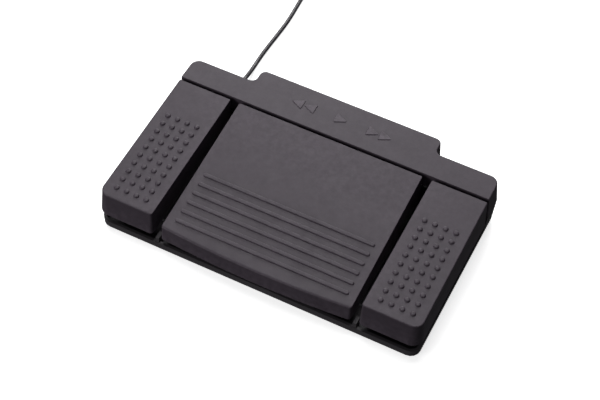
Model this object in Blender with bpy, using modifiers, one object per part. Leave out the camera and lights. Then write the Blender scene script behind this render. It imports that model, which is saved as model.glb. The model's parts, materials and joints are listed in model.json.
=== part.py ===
"""Three-pedal foot control for a dictation or transcription machine.

A low tray carries a steel rod along its rear. Three hollow pedals turn on the rod, each held up
by springs and pressing a switch on a circuit board. A screwed cover closes the rear, and a thin
cord leaves the rear wall. Metres, +Z up, origin on the floor under the middle of the object.
Front is -Y, and a pedal's hinge turns about +X when the pedal is pressed.
"""

import math

import bmesh
import bpy
from mathutils import Matrix, Vector

# --- Driving dimensions -----------------------------------------------------------------------

GAP = 0.0003  # clearance between pieces that touch

HALF_WIDTH = 0.125  # outer top edge of the side pedals and of the cover
PEDAL_LENGTH = 0.1176
PEDAL_REAR_TOP = 0.0431
SIDE_FRONT_TOP = 0.0384
CENTRE_FRONT_TOP = 0.0293
SIDE_INNER = 0.0816  # inner edge of a side pedal
CENTRE_HALF = 0.0744
CENTRE_BOW = 0.00317  # how far the centre pedal's front edge bows forward
SIDE_SKIRT = 0.0174
CENTRE_SKIRT = 0.0160
DRAFT = 0.077  # how far an outer wall leans out for each metre down
INNER_DRAFT = 0.026
WALL = 0.0022
EDGE = 0.0010  # rounding of the top edges

COVER_GAP = 0.0031
COVER_DEPTH = 0.0211
COVER_TOP = 0.0440
COVER_SKIRT = 0.0310  # lower edge of the cover's front wall
PART_LINE = 0.0230  # where the cover meets the tray
TAB_DEPTH = 0.0137
TAB_HALF = 0.0740
TAB_RADIUS = 0.0048
CORNER_RADIUS = 0.0072
LOW_REAR_RADIUS = 0.0046  # the rear corners below the part line, before the wall's growth

BASE_BOTTOM = 0.0020
LIP_TOP = 0.0090
FLOOR = 0.0025
BASE_LEAN = 0.055

# The rearmost wall and the bowed front lie equally far from the origin.
REAR_REACH = COVER_GAP + COVER_DEPTH + TAB_DEPTH + DRAFT * (COVER_TOP - PART_LINE)
FRONT_REACH = PEDAL_LENGTH + CENTRE_BOW + DRAFT * (CENTRE_FRONT_TOP - CENTRE_SKIRT)
PEDAL_REAR = (FRONT_REACH - REAR_REACH) / 2
PEDAL_FRONT = PEDAL_REAR - PEDAL_LENGTH
COVER_FRONT = PEDAL_REAR + COVER_GAP
COVER_REAR = COVER_FRONT + COVER_DEPTH
TAB_REAR = COVER_REAR + TAB_DEPTH
SIDE_MIDDLE = (SIDE_INNER + HALF_WIDTH) / 2

PIVOT_Y = PEDAL_REAR + 0.0107
PIVOT_Z = 0.0210
ROD_RADIUS = 0.0020
PRESS_ANGLE = math.radians(1.85)

SIDES = {"left": -1, "right": 1}

BUMP_COLUMNS = 4
BUMP_ROWS = 10
BUMP_PITCH_X = 0.00804
BUMP_PITCH_Y = 0.0082
BUMP_FIRST = 0.0343  # from the pedal's rear edge to the first row
BUMP_RADIUS = 0.0019
BUMP_HEIGHT = 0.0010

RIB_COUNT = 6
RIB_FIRST = 0.0664
RIB_PITCH = 0.00838
RIB_HALF_LENGTH = 0.0680
RIB_WIDTH = 0.0030
RIB_HEIGHT = 0.0009

LUG_SIDE = (0.0900, 0.1160)  # distance of a side pedal's lugs from the middle
LUG_CENTRE = (-0.0660, 0.0, 0.0660)
LUG_THICK = 0.0040
LUG_RADIUS = 0.0056
HEEL_Y = PIVOT_Y + 0.0065
HEEL_BOTTOM = 0.0093

SADDLES = (-0.1210, -0.0810, -0.0250, 0.0250, 0.0810, 0.1210)
SADDLE_THICK = 0.0030

COVER_SCREWS = ((-0.1070, 0.0600), (0.1070, 0.0600), (-0.0580, 0.0705), (0.0580, 0.0705))
POST_TOP = 0.0140
BOSS_RADIUS = 0.0035
SCREW_RADIUS = 0.0015
SCREW_HEAD = 0.0030
HOLE = SCREW_RADIUS + GAP

SPRING_Y = -0.0200
SPRING_X = {
    "left": -SIDE_MIDDLE,
    "centre_left": -0.0350,
    "centre_right": 0.0350,
    "right": SIDE_MIDDLE,
}
SPRING_RADIUS = 0.0040
SPRING_WIRE = 0.0005
SPRING_TURNS = 4
SPRING_LOW = 0.0056
SPRING_HIGH = 0.0200
CUP_INNER = 0.0052
CUP_OUTER = 0.0067
CUP_TOP = 0.0088

STOP_Y = -0.0640
STOP_X = {
    "left": -SIDE_MIDDLE,
    "centre_left": -0.0450,
    "centre_right": 0.0450,
    "right": SIDE_MIDDLE,
}
STOP_TOP = 0.0100

PLATE_HALF = 0.1120
PLATE_FRONT = -0.0560
PLATE_REAR = 0.0080
PLATE_THICK = 0.0030
PLATE_SCREWS = ((-0.0700, -0.0240), (0.0700, -0.0240))

SWITCH_Y = 0.0220
SWITCH_X = {"left": -SIDE_MIDDLE, "centre": 0.0, "right": SIDE_MIDDLE}
STANDOFF_TOP = 0.0097
BOARD_THICK = 0.0016
BOARD_HALF = 0.1140
BOARD_FRONT = 0.0140
BOARD_REAR = 0.0330
BOARD_SCREWS = ((-0.0500, 0.0235), (0.0500, 0.0235))
SWITCH_SIZE = (0.0128, 0.0098, 0.0065)
PLUNGER_RADIUS = 0.0021
PLUNGER_LENGTH = 0.0038
PLUNGER_TOP = 0.0206
HEADER_X = -0.0910

FEET = {
    "front_left": (-0.1120, -0.0640),
    "front_right": (0.1120, -0.0640),
    "rear_left": (-0.1120, 0.0430),
    "rear_right": (0.1120, 0.0430),
}
FOOT_RADIUS = 0.0060
FOOT_RECESS = 0.0010

CORD_RADIUS = 0.00165
CORD_X = -0.0955
CORD_EXIT_Z = 0.0120
RELIEF_TIP = 0.0800  # how far back the strain relief reaches
# The cord's run from the strain relief to the coil, chosen by hand.
CORD_ROUTE = (
    (-0.0955, 0.0803, 0.0120),
    (-0.0955, 0.0870, 0.0117),
    (-0.0961, 0.0940, 0.0098),
    (-0.0973, 0.1015, 0.0065),
    (-0.0985, 0.1090, 0.0035),
    (-0.0993, 0.1170, 0.0020),
    (-0.0996, 0.1280, 0.0018),
    (-0.0994, 0.1380, 0.0018),
    (-0.0990, 0.1480, 0.0018),
    (-0.0986, 0.1580, 0.0018),
    (-0.0984, 0.1680, 0.0018),
    (-0.0987, 0.1790, 0.0018),
    (-0.0994, 0.1900, 0.0018),
    (-0.1001, 0.2010, 0.0020),
    (-0.1005, 0.2110, 0.0023),
    (-0.10055, 0.2187, 0.0025),
)
# The jacketed wires inside, from the strain relief to the header on the board.
INNER_ROUTE = (
    (-0.0955, 0.0607, 0.0120),
    (-0.0957, 0.0520, 0.0115),
    (-0.0955, 0.0440, 0.0112),
    (-0.0943, 0.0385, 0.0125),
    (-0.0925, 0.0345, 0.0146),
    (-0.0912, 0.0312, 0.0150),
    (-0.0910, 0.0274, 0.0150),
)
COIL_CENTRE = (-0.1240, 0.2320)
COIL_TURNS_ACROSS = 4
COIL_MEAN_RADIUS = 0.0185
COIL_BOTTOM = 0.0009
COIL_HALF = COIL_TURNS_ACROSS * CORD_RADIUS
TIE_ANGLE = math.radians(225)
TIE_WIDTH = 0.0050
TIE_THICK = 0.0006

PLUG_RADIUS = 0.0040
PLUG_Z = 0.0041
PLUG_X = COIL_CENTRE[0] - 0.0365
PLUG_REAR = 0.2260  # the boot's end, where the cord goes in
PLUG_BOOT = 0.0120
PLUG_GRIP = 0.0190
CONTACT_RADIUS = 0.00175
CONTACT_LENGTH = 0.0140
LEAD_START = math.radians(20)  # where the last turn leaves the coil
LEAD_CLEAR = math.radians(78)
LEAD_DROP = math.radians(62)

# --- Scene, materials and collections ---------------------------------------------------------


def clear_scene():
    for old in list(bpy.data.objects):
        bpy.data.objects.remove(old, do_unlink=True)


def new_collection(name):
    made = bpy.data.collections.new(name)
    bpy.context.scene.collection.children.link(made)
    return made


def new_material(name, colour, roughness, metallic=0.0):
    made = bpy.data.materials.new(name)
    made.use_nodes = True
    shader = made.node_tree.nodes["Principled BSDF"]
    shader.inputs["Base Color"].default_value = (*colour, 1.0)
    shader.inputs["Roughness"].default_value = roughness
    shader.inputs["Metallic"].default_value = metallic
    return made


clear_scene()
PARTS = new_collection("foot_control")
CUTTERS = new_collection("foot_control_cutters")

CASE = new_material("case_plastic", (0.078, 0.068, 0.080), 0.45)
TRAY = new_material("tray_plastic", (0.030, 0.028, 0.032), 0.50)
STEEL = new_material("bright_steel", (0.560, 0.560, 0.570), 0.30, 1.0)
PLATED = new_material("plated_plate", (0.420, 0.430, 0.440), 0.42, 1.0)
RUBBER = new_material("black_rubber", (0.020, 0.020, 0.021), 0.80)
BOARD = new_material("board_green", (0.020, 0.110, 0.045), 0.40)
SWITCH = new_material("switch_black", (0.015, 0.015, 0.016), 0.35)
BUTTON = new_material("plunger_red", (0.450, 0.040, 0.030), 0.40)
HEADER = new_material("header_white", (0.700, 0.680, 0.620), 0.45)
CORD = new_material("cord_black", (0.025, 0.024, 0.027), 0.45)
TIE = new_material("tie_black", (0.018, 0.018, 0.019), 0.60)
GOLD = new_material("plug_gold", (0.750, 0.560, 0.260), 0.25, 1.0)

# --- Modelling helpers ------------------------------------------------------------------------


def add_object(name, mesh, material):
    """Puts a mesh in the parts collection, or in the cutters' one if it has no material."""
    made = bpy.data.objects.new(name, mesh)
    if material:
        mesh.materials.append(material)
        PARTS.objects.link(made)
    else:
        CUTTERS.objects.link(made)
        made.hide_render = True
        made.display_type = "WIRE"
    return made


def finish_mesh(name, shape, material=None, smooth_angle=35):
    """Turns a bmesh into an object with its faces pointing out."""
    bmesh.ops.recalc_face_normals(shape, faces=shape.faces)
    mesh = bpy.data.meshes.new(name)
    shape.to_mesh(mesh)
    shape.free()
    mesh.shade_smooth()
    mesh.set_sharp_from_angle(angle=math.radians(smooth_angle))
    return add_object(name, mesh, material)


def add_box(shape, low, high):
    """Adds a box between two corners to a bmesh."""
    low, high = Vector(low), Vector(high)
    size = high - low
    place = Matrix.Translation((low + high) / 2) @ Matrix.Diagonal((*size, 1.0))
    bmesh.ops.create_cube(shape, size=1.0, matrix=place)


def add_rod(shape, start, end, radius, end_radius=None, segments=12):
    """Adds a cylinder or cone frustum between two points to a bmesh."""
    start, end = Vector(start), Vector(end)
    along = end - start
    turn = along.to_track_quat("Z", "Y").to_matrix().to_4x4()
    bmesh.ops.create_cone(
        shape,
        cap_ends=True,
        segments=segments,
        radius1=radius,
        radius2=radius if end_radius is None else end_radius,
        depth=along.length,
        matrix=Matrix.Translation((start + end) / 2) @ turn,
    )


def add_slab(shape, outline, low, high, axis):
    """Adds a flat outline, given as point pairs, extruded from low to high along X or Z."""
    if axis == "X":
        ring = [shape.verts.new((low, y, z)) for y, z in outline]
        step = Vector((high - low, 0, 0))
    else:
        ring = [shape.verts.new((x, y, low)) for x, y in outline]
        step = Vector((0, 0, high - low))
    face = shape.faces.new(ring)
    grown = bmesh.ops.extrude_face_region(shape, geom=[face], use_keep_orig=True)
    moved = [part for part in grown["geom"] if isinstance(part, bmesh.types.BMVert)]
    bmesh.ops.translate(shape, verts=moved, vec=step)


def boolean(target, tool, operation):
    """Joins a tool to a target or cuts it away, and keeps the tool among the cutters."""
    step = target.modifiers.new(f"{operation.lower()}_{tool.name}", "BOOLEAN")
    step.operation = operation
    step.object = tool
    step.solver = "EXACT"


def edge_normals(corners):
    """The outward normal of the edge that starts at each corner of a counter-clockwise outline."""
    normals = []
    for i, corner in enumerate(corners):
        after = corners[(i + 1) % len(corners)]
        along = Vector((after[0] - corner[0], after[1] - corner[1])).normalized()
        normals.append(Vector((along.y, -along.x)))
    return normals


def grown(corners, amounts):
    """Moves each edge of an outline of (x, y, radius) corners outward by its own amount."""
    normals = edge_normals(corners)
    moved = []
    for i, (x, y, radius) in enumerate(corners):
        before, after = normals[i - 1], normals[i]
        low, high = amounts[i - 1], amounts[i]
        turn = before.x * after.y - before.y * after.x
        if abs(turn) < 0.2:
            shift = (before + after) * (low + high) / 2 / (1 + before.dot(after))
        else:
            shift = Vector((low * after.y - high * before.y, high * before.x - low * after.x)) / turn
        outward = (low + high) / 2 if turn > 0 else -(low + high) / 2
        kept = max(radius + outward, 0.0004) if radius > 0 else 0.0
        moved.append((x + shift.x, y + shift.y, kept))
    return moved


def rounded(corners, steps=4):
    """Points along an outline whose corners with a radius are arcs."""
    points = []
    for i, (x, y, radius) in enumerate(corners):
        here = Vector((x, y))
        if radius == 0:
            points.append(here)
            continue
        before = (Vector(corners[i - 1][:2]) - here).normalized()
        after = (Vector(corners[(i + 1) % len(corners)][:2]) - here).normalized()
        half = before.angle(after) / 2
        centre = here + (before + after).normalized() * radius / math.sin(half)
        start = here + before * radius / math.tan(half) - centre
        end = here + after * radius / math.tan(half) - centre
        sweep = start.angle_signed(end)
        for step in range(steps + 1):
            points.append(centre + Matrix.Rotation(-sweep * step / steps, 2) @ start)
    return points


def loft(name, sections, material=None, smooth_angle=35):
    """Skins a closed solid through rings of points of equal number, lowest ring first."""
    shape = bmesh.new()
    rings = [[shape.verts.new(point) for point in ring] for ring in sections]
    count = len(rings[0])
    for low, high in zip(rings, rings[1:]):
        for i in range(count):
            j = (i + 1) % count
            shape.faces.new((low[i], low[j], high[j], high[i]))
    shape.faces.new(reversed(rings[0]))
    shape.faces.new(rings[-1])
    return finish_mesh(name, shape, material, smooth_angle)


def ring_at(corners, amounts, height):
    """A rounded outline grown by per-edge amounts, at a height that may depend on y."""
    return [
        (p.x, p.y, height(p.y) if callable(height) else height)
        for p in rounded(grown(corners, amounts))
    ]


def turned(name, profile, material, place, segments=12):
    """A turned solid about +Z from (radius, height) points, then moved by a matrix.

    The profile runs from the axis out, down its outer side and back to the axis.
    """
    shape = bmesh.new()
    points = [shape.verts.new((radius, 0, height)) for radius, height in profile]
    for first, second in zip(points, points[1:]):
        shape.edges.new((first, second))
    mesh = bpy.data.meshes.new(name)
    shape.to_mesh(mesh)
    shape.free()
    made = add_object(name, mesh, material)
    screw = made.modifiers.new("turn", "SCREW")
    screw.angle = math.tau
    screw.steps = segments
    screw.render_steps = segments
    screw.use_merge_vertices = True
    screw.merge_threshold = 0.00001
    screw.use_smooth_shade = True
    made.matrix_world = place
    return made


def turned_ring(name, profile, material, place, segments=40):
    """A turned ring about +Z from a closed (radius, height) profile."""
    shape = bmesh.new()
    rings = []
    for step in range(segments):
        turn = Matrix.Rotation(math.tau * step / segments, 4, "Z")
        rings.append([shape.verts.new(turn @ Vector((r, 0, z))) for r, z in profile])
    for i, ring in enumerate(rings):
        after = rings[(i + 1) % segments]
        for j in range(len(profile)):
            k = (j + 1) % len(profile)
            shape.faces.new((ring[j], ring[k], after[k], after[j]))
    made = finish_mesh(name, shape, material)
    made.matrix_world = place
    return made


def tube(name, points, radius, material):
    """A round tube with filled caps along a list of points."""
    curve = bpy.data.curves.new(name, "CURVE")
    curve.dimensions = "3D"
    curve.bevel_depth = radius
    curve.bevel_resolution = 2
    curve.use_fill_caps = True
    line = curve.splines.new("POLY")
    line.points.add(len(points) - 1)
    for slot, point in zip(line.points, points):
        slot.co = (*point, 1.0)
    curve.materials.append(material)
    made = bpy.data.objects.new(name, curve)
    PARTS.objects.link(made)
    return made


def smooth_line(route, spacing):
    """Points about a spacing apart on a Catmull-Rom curve through the route's own points."""
    route = [Vector(point) for point in route]
    ends = [2 * route[0] - route[1], *route, 2 * route[-1] - route[-2]]
    points = [route[0]]
    for a, b, c, d in zip(ends, ends[1:], ends[2:], ends[3:]):
        steps = max(1, round((c - b).length / spacing))
        for step in range(1, steps + 1):
            t = step / steps
            points.append(
                0.5
                * (
                    2 * b
                    + (c - a) * t
                    + (2 * a - 5 * b + 4 * c - d) * t * t
                    + (3 * b - a - 3 * c + d) * t * t * t
                )
            )
    return points


def ease(amount):
    """Smooth step from 0 to 1."""
    amount = min(max(amount, 0.0), 1.0)
    return amount * amount * (3 - 2 * amount)


def arc(centre, radius, start, end, steps):
    """Points of an arc, with its angles in degrees."""
    return [
        (
            centre[0] + radius * math.cos(math.radians(start + (end - start) * i / steps)),
            centre[1] + radius * math.sin(math.radians(start + (end - start) * i / steps)),
        )
        for i in range(steps + 1)
    ]


# --- Pedals -----------------------------------------------------------------------------------


def pedal_top(front_top):
    """Height of a pedal's flat, sloping top as a function of y."""
    slope = (PEDAL_REAR_TOP - front_top) / PEDAL_LENGTH
    return lambda y: PEDAL_REAR_TOP - slope * (PEDAL_REAR - y)


def side_outline(side):
    """Corners and draft of a side pedal's top: rear, outer, front and inner edges in turn."""
    inner, outer = SIDE_INNER * side, HALF_WIDTH * side
    corners = [
        (inner, PEDAL_REAR, 0.0008),
        (inner, PEDAL_FRONT, 0.0016),
        (outer, PEDAL_FRONT, CORNER_RADIUS),
        (outer, PEDAL_REAR, 0.0008),
    ]
    lean = [INNER_DRAFT, DRAFT, DRAFT, 0.0]
    if side < 0:
        corners.reverse()
        lean = [DRAFT, DRAFT, INNER_DRAFT, 0.0]
    return corners, lean


def centre_outline():
    """Corners and draft of the centre pedal's top, whose front edge bows forward."""
    front_steps = 8
    corners = [(-CENTRE_HALF, PEDAL_REAR, 0.0008), (-CENTRE_HALF, PEDAL_FRONT, 0.0018)]
    for i in range(1, front_steps):
        across = -1 + 2 * i / front_steps
        corners.append((CENTRE_HALF * across, PEDAL_FRONT - CENTRE_BOW * (1 - across**2), 0.0))
    corners += [(CENTRE_HALF, PEDAL_FRONT, 0.0018), (CENTRE_HALF, PEDAL_REAR, 0.0008)]
    lean = [INNER_DRAFT] + [DRAFT] * front_steps + [INNER_DRAFT, 0.0]
    return corners, lean


def pedal_shell(name, outline, front_top, bottom):
    """The hollow pedal: a drafted box, open below, with a rounded top edge."""
    corners, lean = outline
    top = pedal_top(front_top)
    count = len(corners)
    depth = front_top - bottom
    skirt = [amount * depth for amount in lean]

    outer = [ring_at(corners, skirt, bottom)]
    for inset, drop in ((0.0, EDGE), (0.3 * EDGE, 0.3 * EDGE), (EDGE, 0.0)):
        outer.append(ring_at(corners, [-inset] * count, lambda y, d=drop: top(y) - d))
    shell = loft(name, outer, CASE)

    hollow = [
        ring_at(corners, [a * 1.3 - WALL for a in skirt], bottom - 0.3 * depth),
        ring_at(corners, [-WALL] * count, lambda y: top(y) - WALL),
    ]
    boolean(shell, loft(f"{name}_hollow", hollow), "DIFFERENCE")
    return shell


def lug_outline(top):
    """A stiffening rib under the top that runs back into the hinge lug and its heel."""
    rib_front = PEDAL_FRONT + 0.0060
    under = 1.2 * WALL
    pivot = (PIVOT_Y, PIVOT_Z)
    return [
        (rib_front, top(rib_front) - 0.5 * WALL),
        (rib_front, top(rib_front) - under - 0.0050),
        (SWITCH_Y - 0.0100, 0.0260),
        (PEDAL_REAR - 0.0080, 0.0225),
        (PIVOT_Y - LUG_RADIUS, PIVOT_Z - 0.0040),
        (PIVOT_Y - 0.0020, PIVOT_Z - LUG_RADIUS),
        (HEEL_Y - 0.0030, PIVOT_Z - LUG_RADIUS - 0.0010),
        (HEEL_Y - 0.0030, HEEL_BOTTOM),
        (HEEL_Y + 0.0010, HEEL_BOTTOM),
        (HEEL_Y + 0.0010, PIVOT_Z - 0.0030),
        *arc(pivot, LUG_RADIUS, 0, 75, 4),
        (PEDAL_REAR - 0.5 * WALL, PIVOT_Z + 0.0090),
        (PEDAL_REAR - 0.5 * WALL, top(PEDAL_REAR) - 0.5 * WALL),
    ]


def add_pedal(name, outline, front_top, bottom, lugs, switch_x, spring_x, grip):
    """One pedal with its grip pattern, lugs, switch post, spring bosses and stop ribs."""
    top = pedal_top(front_top)
    pedal = pedal_shell(name, outline, front_top, bottom)

    # The rear wall ends above the cord, the board's wires and the rod.
    inner_low = min(corner[0] for corner in outline[0]) + WALL
    inner_high = max(corner[0] for corner in outline[0]) - WALL
    shape = bmesh.new()
    add_box(
        shape,
        (inner_low, PEDAL_REAR - 2 * WALL, bottom - 0.002),
        (inner_high, PEDAL_REAR + WALL, PIVOT_Z + 0.007),
    )
    boolean(pedal, finish_mesh(f"{name}_rear_opening", shape), "DIFFERENCE")

    shape = bmesh.new()
    for x in lugs:
        add_slab(shape, lug_outline(top), x - LUG_THICK / 2, x + LUG_THICK / 2, "X")
    boolean(pedal, finish_mesh(f"{name}_lugs", shape), "UNION")

    shape = bmesh.new()
    reach = HALF_WIDTH + 0.01
    start, end = (-reach, PIVOT_Y, PIVOT_Z), (reach, PIVOT_Y, PIVOT_Z)
    add_rod(shape, start, end, ROD_RADIUS + GAP)
    boolean(pedal, finish_mesh(f"{name}_bore", shape), "DIFFERENCE")

    # Cross ribs: one over the switch and one over the front stops.
    shape = bmesh.new()
    stop_drop = (PIVOT_Y - STOP_Y) * math.sin(PRESS_ANGLE)
    add_box(
        shape,
        (inner_low - 0.5 * WALL, STOP_Y - 0.0015, STOP_TOP + stop_drop + GAP),
        (inner_high + 0.5 * WALL, STOP_Y + 0.0015, top(STOP_Y - 0.0015) - 0.5 * WALL),
    )
    add_box(
        shape,
        (inner_low - 0.5 * WALL, SWITCH_Y - 0.0015, 0.0275),
        (inner_high + 0.5 * WALL, SWITCH_Y + 0.0015, top(SWITCH_Y - 0.0015) - 0.5 * WALL),
    )
    boolean(pedal, finish_mesh(f"{name}_cross_ribs", shape), "UNION")

    shape = bmesh.new()
    add_rod(
        shape,
        (switch_x, SWITCH_Y, PLUNGER_TOP + GAP),
        (switch_x, SWITCH_Y, top(SWITCH_Y) - 0.5 * WALL),
        0.0030,
        segments=12,
    )
    for x in spring_x:
        add_rod(
            shape,
            (x, SPRING_Y, SPRING_HIGH + SPRING_WIRE + GAP),
            (x, SPRING_Y, top(SPRING_Y) - 0.5 * WALL),
            0.0058,
        )
    boolean(pedal, finish_mesh(f"{name}_bosses", shape), "UNION")

    shape = bmesh.new()
    for x in spring_x:
        add_rod(
            shape,
            (x, SPRING_Y, SPRING_HIGH - 0.0040),
            (x, SPRING_Y, SPRING_HIGH + 0.0030),
            0.0026,
        )
    boolean(pedal, finish_mesh(f"{name}_spigots", shape), "UNION")

    boolean(pedal, grip, "UNION")

    put_origin(pedal, (0, PIVOT_Y, PIVOT_Z))
    return pedal


def put_origin(piece, point):
    """Moves a piece's origin to a point, such as one on its joint's axis."""
    piece.data.transform(Matrix.Translation(-Vector(point)))
    piece.location = point


def bump_grip(side):
    """A field of small raised dots on a side pedal."""
    top = pedal_top(SIDE_FRONT_TOP)
    shape = bmesh.new()
    for row in range(BUMP_ROWS):
        y = PEDAL_REAR - BUMP_FIRST - row * BUMP_PITCH_Y
        for column in range(BUMP_COLUMNS):
            x = SIDE_MIDDLE * side + (column - (BUMP_COLUMNS - 1) / 2) * BUMP_PITCH_X
            add_rod(
                shape,
                (x, y, top(y) - 0.0008),
                (x, y, top(y) + BUMP_HEIGHT),
                BUMP_RADIUS * 1.3,
                BUMP_RADIUS * 0.62,
                segments=7,
            )
    return finish_mesh(f"grip_{'left' if side < 0 else 'right'}", shape)


def rib_grip():
    """Long raised ribs with round ends across the centre pedal."""
    top = pedal_top(CENTRE_FRONT_TOP)
    shape = bmesh.new()
    straight = RIB_HALF_LENGTH - RIB_WIDTH / 2
    for i in range(RIB_COUNT):
        y = PEDAL_REAR - RIB_FIRST - i * RIB_PITCH
        rings = []
        for width, lift in ((RIB_WIDTH, -0.0008), (RIB_WIDTH, 0.0), (0.45 * RIB_WIDTH, RIB_HEIGHT)):
            outline = arc((straight, y), width / 2, -90, 90, 6)
            outline += arc((-straight, y), width / 2, 90, 270, 6)
            rings.append([shape.verts.new((px, py, top(py) + lift)) for px, py in outline])
        for low, high in zip(rings, rings[1:]):
            for j in range(len(low)):
                k = (j + 1) % len(low)
                shape.faces.new((low[j], low[k], high[k], high[j]))
        shape.faces.new(reversed(rings[0]))
        shape.faces.new(rings[-1])
    return finish_mesh("grip_centre", shape)


def add_pedals():
    for word, side in SIDES.items():
        add_pedal(
            f"{word}_pedal",
            side_outline(side),
            SIDE_FRONT_TOP,
            SIDE_SKIRT,
            [side * x for x in LUG_SIDE],
            SWITCH_X[word],
            [SPRING_X[word]],
            bump_grip(side),
        )
    add_pedal(
        "centre_pedal",
        centre_outline(),
        CENTRE_FRONT_TOP,
        CENTRE_SKIRT,
        LUG_CENTRE,
        SWITCH_X["centre"],
        [SPRING_X["centre_left"], SPRING_X["centre_right"]],
        rib_grip(),
    )


# --- Tray and cover ---------------------------------------------------------------------------


def body_corners(front, corner=CORNER_RADIUS, rear=CORNER_RADIUS):
    """The outline that tray and cover share, with the tab at the rear, from a front edge back."""
    return [
        (-HALF_WIDTH, front, corner),
        (HALF_WIDTH, front, corner),
        (HALF_WIDTH, COVER_REAR, rear),
        (TAB_HALF, COVER_REAR, TAB_RADIUS),
        (TAB_HALF, TAB_REAR, TAB_RADIUS),
        (-TAB_HALF, TAB_REAR, TAB_RADIUS),
        (-TAB_HALF, COVER_REAR, TAB_RADIUS),
        (-HALF_WIDTH, COVER_REAR, rear),
    ]


def wall_growth(height):
    """How far the tray's wall stands outside the shared outline at a height."""
    full = DRAFT * (COVER_TOP - PART_LINE)
    return full - BASE_LEAN * (PART_LINE - height)


def add_tray():
    corners = body_corners(PEDAL_FRONT, rear=LOW_REAR_RADIUS)
    count = len(corners)

    def tray_ring(inset, height, at=None):
        return ring_at(corners, [wall_growth(height) - inset] * count, at or height)

    low_edge = BASE_BOTTOM + 0.0008
    tray = loft(
        "base_tray",
        [
            tray_ring(0.0008, BASE_BOTTOM),
            tray_ring(0.0, low_edge),
            tray_ring(0.0, PART_LINE),
        ],
        TRAY,
    )

    shape = bmesh.new()
    add_box(shape, (-0.2, -0.2, LIP_TOP), (0.2, COVER_FRONT - 0.0006, 0.1))
    boolean(tray, finish_mesh("tray_step", shape), "DIFFERENCE")

    floor_top = BASE_BOTTOM + FLOOR
    hollow = [tray_ring(WALL, floor_top), tray_ring(WALL, PART_LINE, PART_LINE + 0.005)]
    boolean(tray, loft("tray_hollow", hollow), "DIFFERENCE")

    sunk = floor_top - 0.0010
    shape = bmesh.new()
    for x in SADDLES:
        add_box(
            shape,
            (x - SADDLE_THICK / 2, PIVOT_Y - 0.0050, sunk),
            (x + SADDLE_THICK / 2, PIVOT_Y + 0.0050, PART_LINE),
        )
    for x in (-LUG_SIDE[1], -LUG_SIDE[0], *LUG_CENTRE, *LUG_SIDE):
        add_box(shape, (x - 0.003, HEEL_Y - 0.004, sunk), (x + 0.003, HEEL_Y + 0.002, HEEL_BOTTOM - GAP))
    for x, y in COVER_SCREWS:
        add_rod(shape, (x, y, sunk), (x, y, POST_TOP), BOSS_RADIUS)
    for x in SPRING_X.values():
        add_rod(shape, (x, SPRING_Y, sunk), (x, SPRING_Y, CUP_TOP), CUP_OUTER)
    for x, y in BOARD_SCREWS:
        add_rod(shape, (x, y, sunk), (x, y, STANDOFF_TOP), 0.0030)
    for side in SIDES.values():
        add_box(
            shape,
            (side * 0.1090 - 0.003, BOARD_FRONT + 0.002, sunk),
            (side * 0.1090 + 0.003, BOARD_REAR - 0.002, STANDOFF_TOP),
        )
        guide = side * (SIDE_INNER + CENTRE_HALF) / 2
        add_box(
            shape,
            (guide - 0.0014, PEDAL_FRONT - 0.0004, sunk),
            (guide + 0.0014, PEDAL_FRONT + 0.0060, LIP_TOP + 0.0050),
        )
    boolean(tray, finish_mesh("tray_fittings", shape), "UNION")

    shape = bmesh.new()
    inside = HALF_WIDTH - WALL
    add_rod(shape, (-inside, PIVOT_Y, PIVOT_Z), (inside, PIVOT_Y, PIVOT_Z), ROD_RADIUS + GAP)
    boolean(tray, finish_mesh("tray_rod_seat", shape), "DIFFERENCE")

    shape = bmesh.new()
    slot = ROD_RADIUS + GAP
    add_box(
        shape,
        (-inside, PIVOT_Y - slot, PIVOT_Z),
        (inside, PIVOT_Y + slot, PART_LINE + 0.001),
    )
    boolean(tray, finish_mesh("tray_rod_slot", shape), "DIFFERENCE")

    shape = bmesh.new()
    for x, y in COVER_SCREWS:
        add_rod(shape, (x, y, 0), (x, y, POST_TOP + 0.001), HOLE)
    for x, y in PLATE_SCREWS:
        add_rod(shape, (x, y, BASE_BOTTOM + 0.0008), (x, y, 0.006), HOLE)
    for x, y in BOARD_SCREWS:
        add_rod(shape, (x, y, BASE_BOTTOM + 0.0015), (x, y, 0.012), HOLE)
    for x in SPRING_X.values():
        add_rod(shape, (x, SPRING_Y, floor_top), (x, SPRING_Y, CUP_TOP + 0.001), CUP_INNER)
    for x, y in FEET.values():
        add_rod(
            shape,
            (x, y, 0),
            (x, y, BASE_BOTTOM + FOOT_RECESS),
            FOOT_RADIUS + GAP,
            segments=16,
        )
    wall_rear = COVER_REAR + 0.004
    add_rod(
        shape,
        (CORD_X, COVER_REAR - 0.004, CORD_EXIT_Z),
        (CORD_X, wall_rear, CORD_EXIT_Z),
        0.0036,
    )
    boolean(tray, finish_mesh("tray_holes", shape), "DIFFERENCE")

    shape = bmesh.new()
    for x, y in COVER_SCREWS:
        add_rod(shape, (x, y, 0), (x, y, BASE_BOTTOM + 0.0022), SCREW_HEAD + GAP, segments=16)
    boolean(tray, finish_mesh("tray_counterbores", shape), "DIFFERENCE")


def emblem(shape, low, high):
    """A generic row of low-relief arrowheads in the middle of the cover."""
    half = 0.0045
    middle = (COVER_FRONT + TAB_REAR) / 2
    for x, way in ((-0.036, -1), (-0.026, -1), (0.0, 1), (0.026, 1), (0.036, 1)):
        outline = [
            (x - way * half, middle - half),
            (x + way * half, middle),
            (x - way * half, middle + half),
        ]
        if way < 0:
            outline.reverse()
        add_slab(shape, outline, low, high, "Z")


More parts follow.
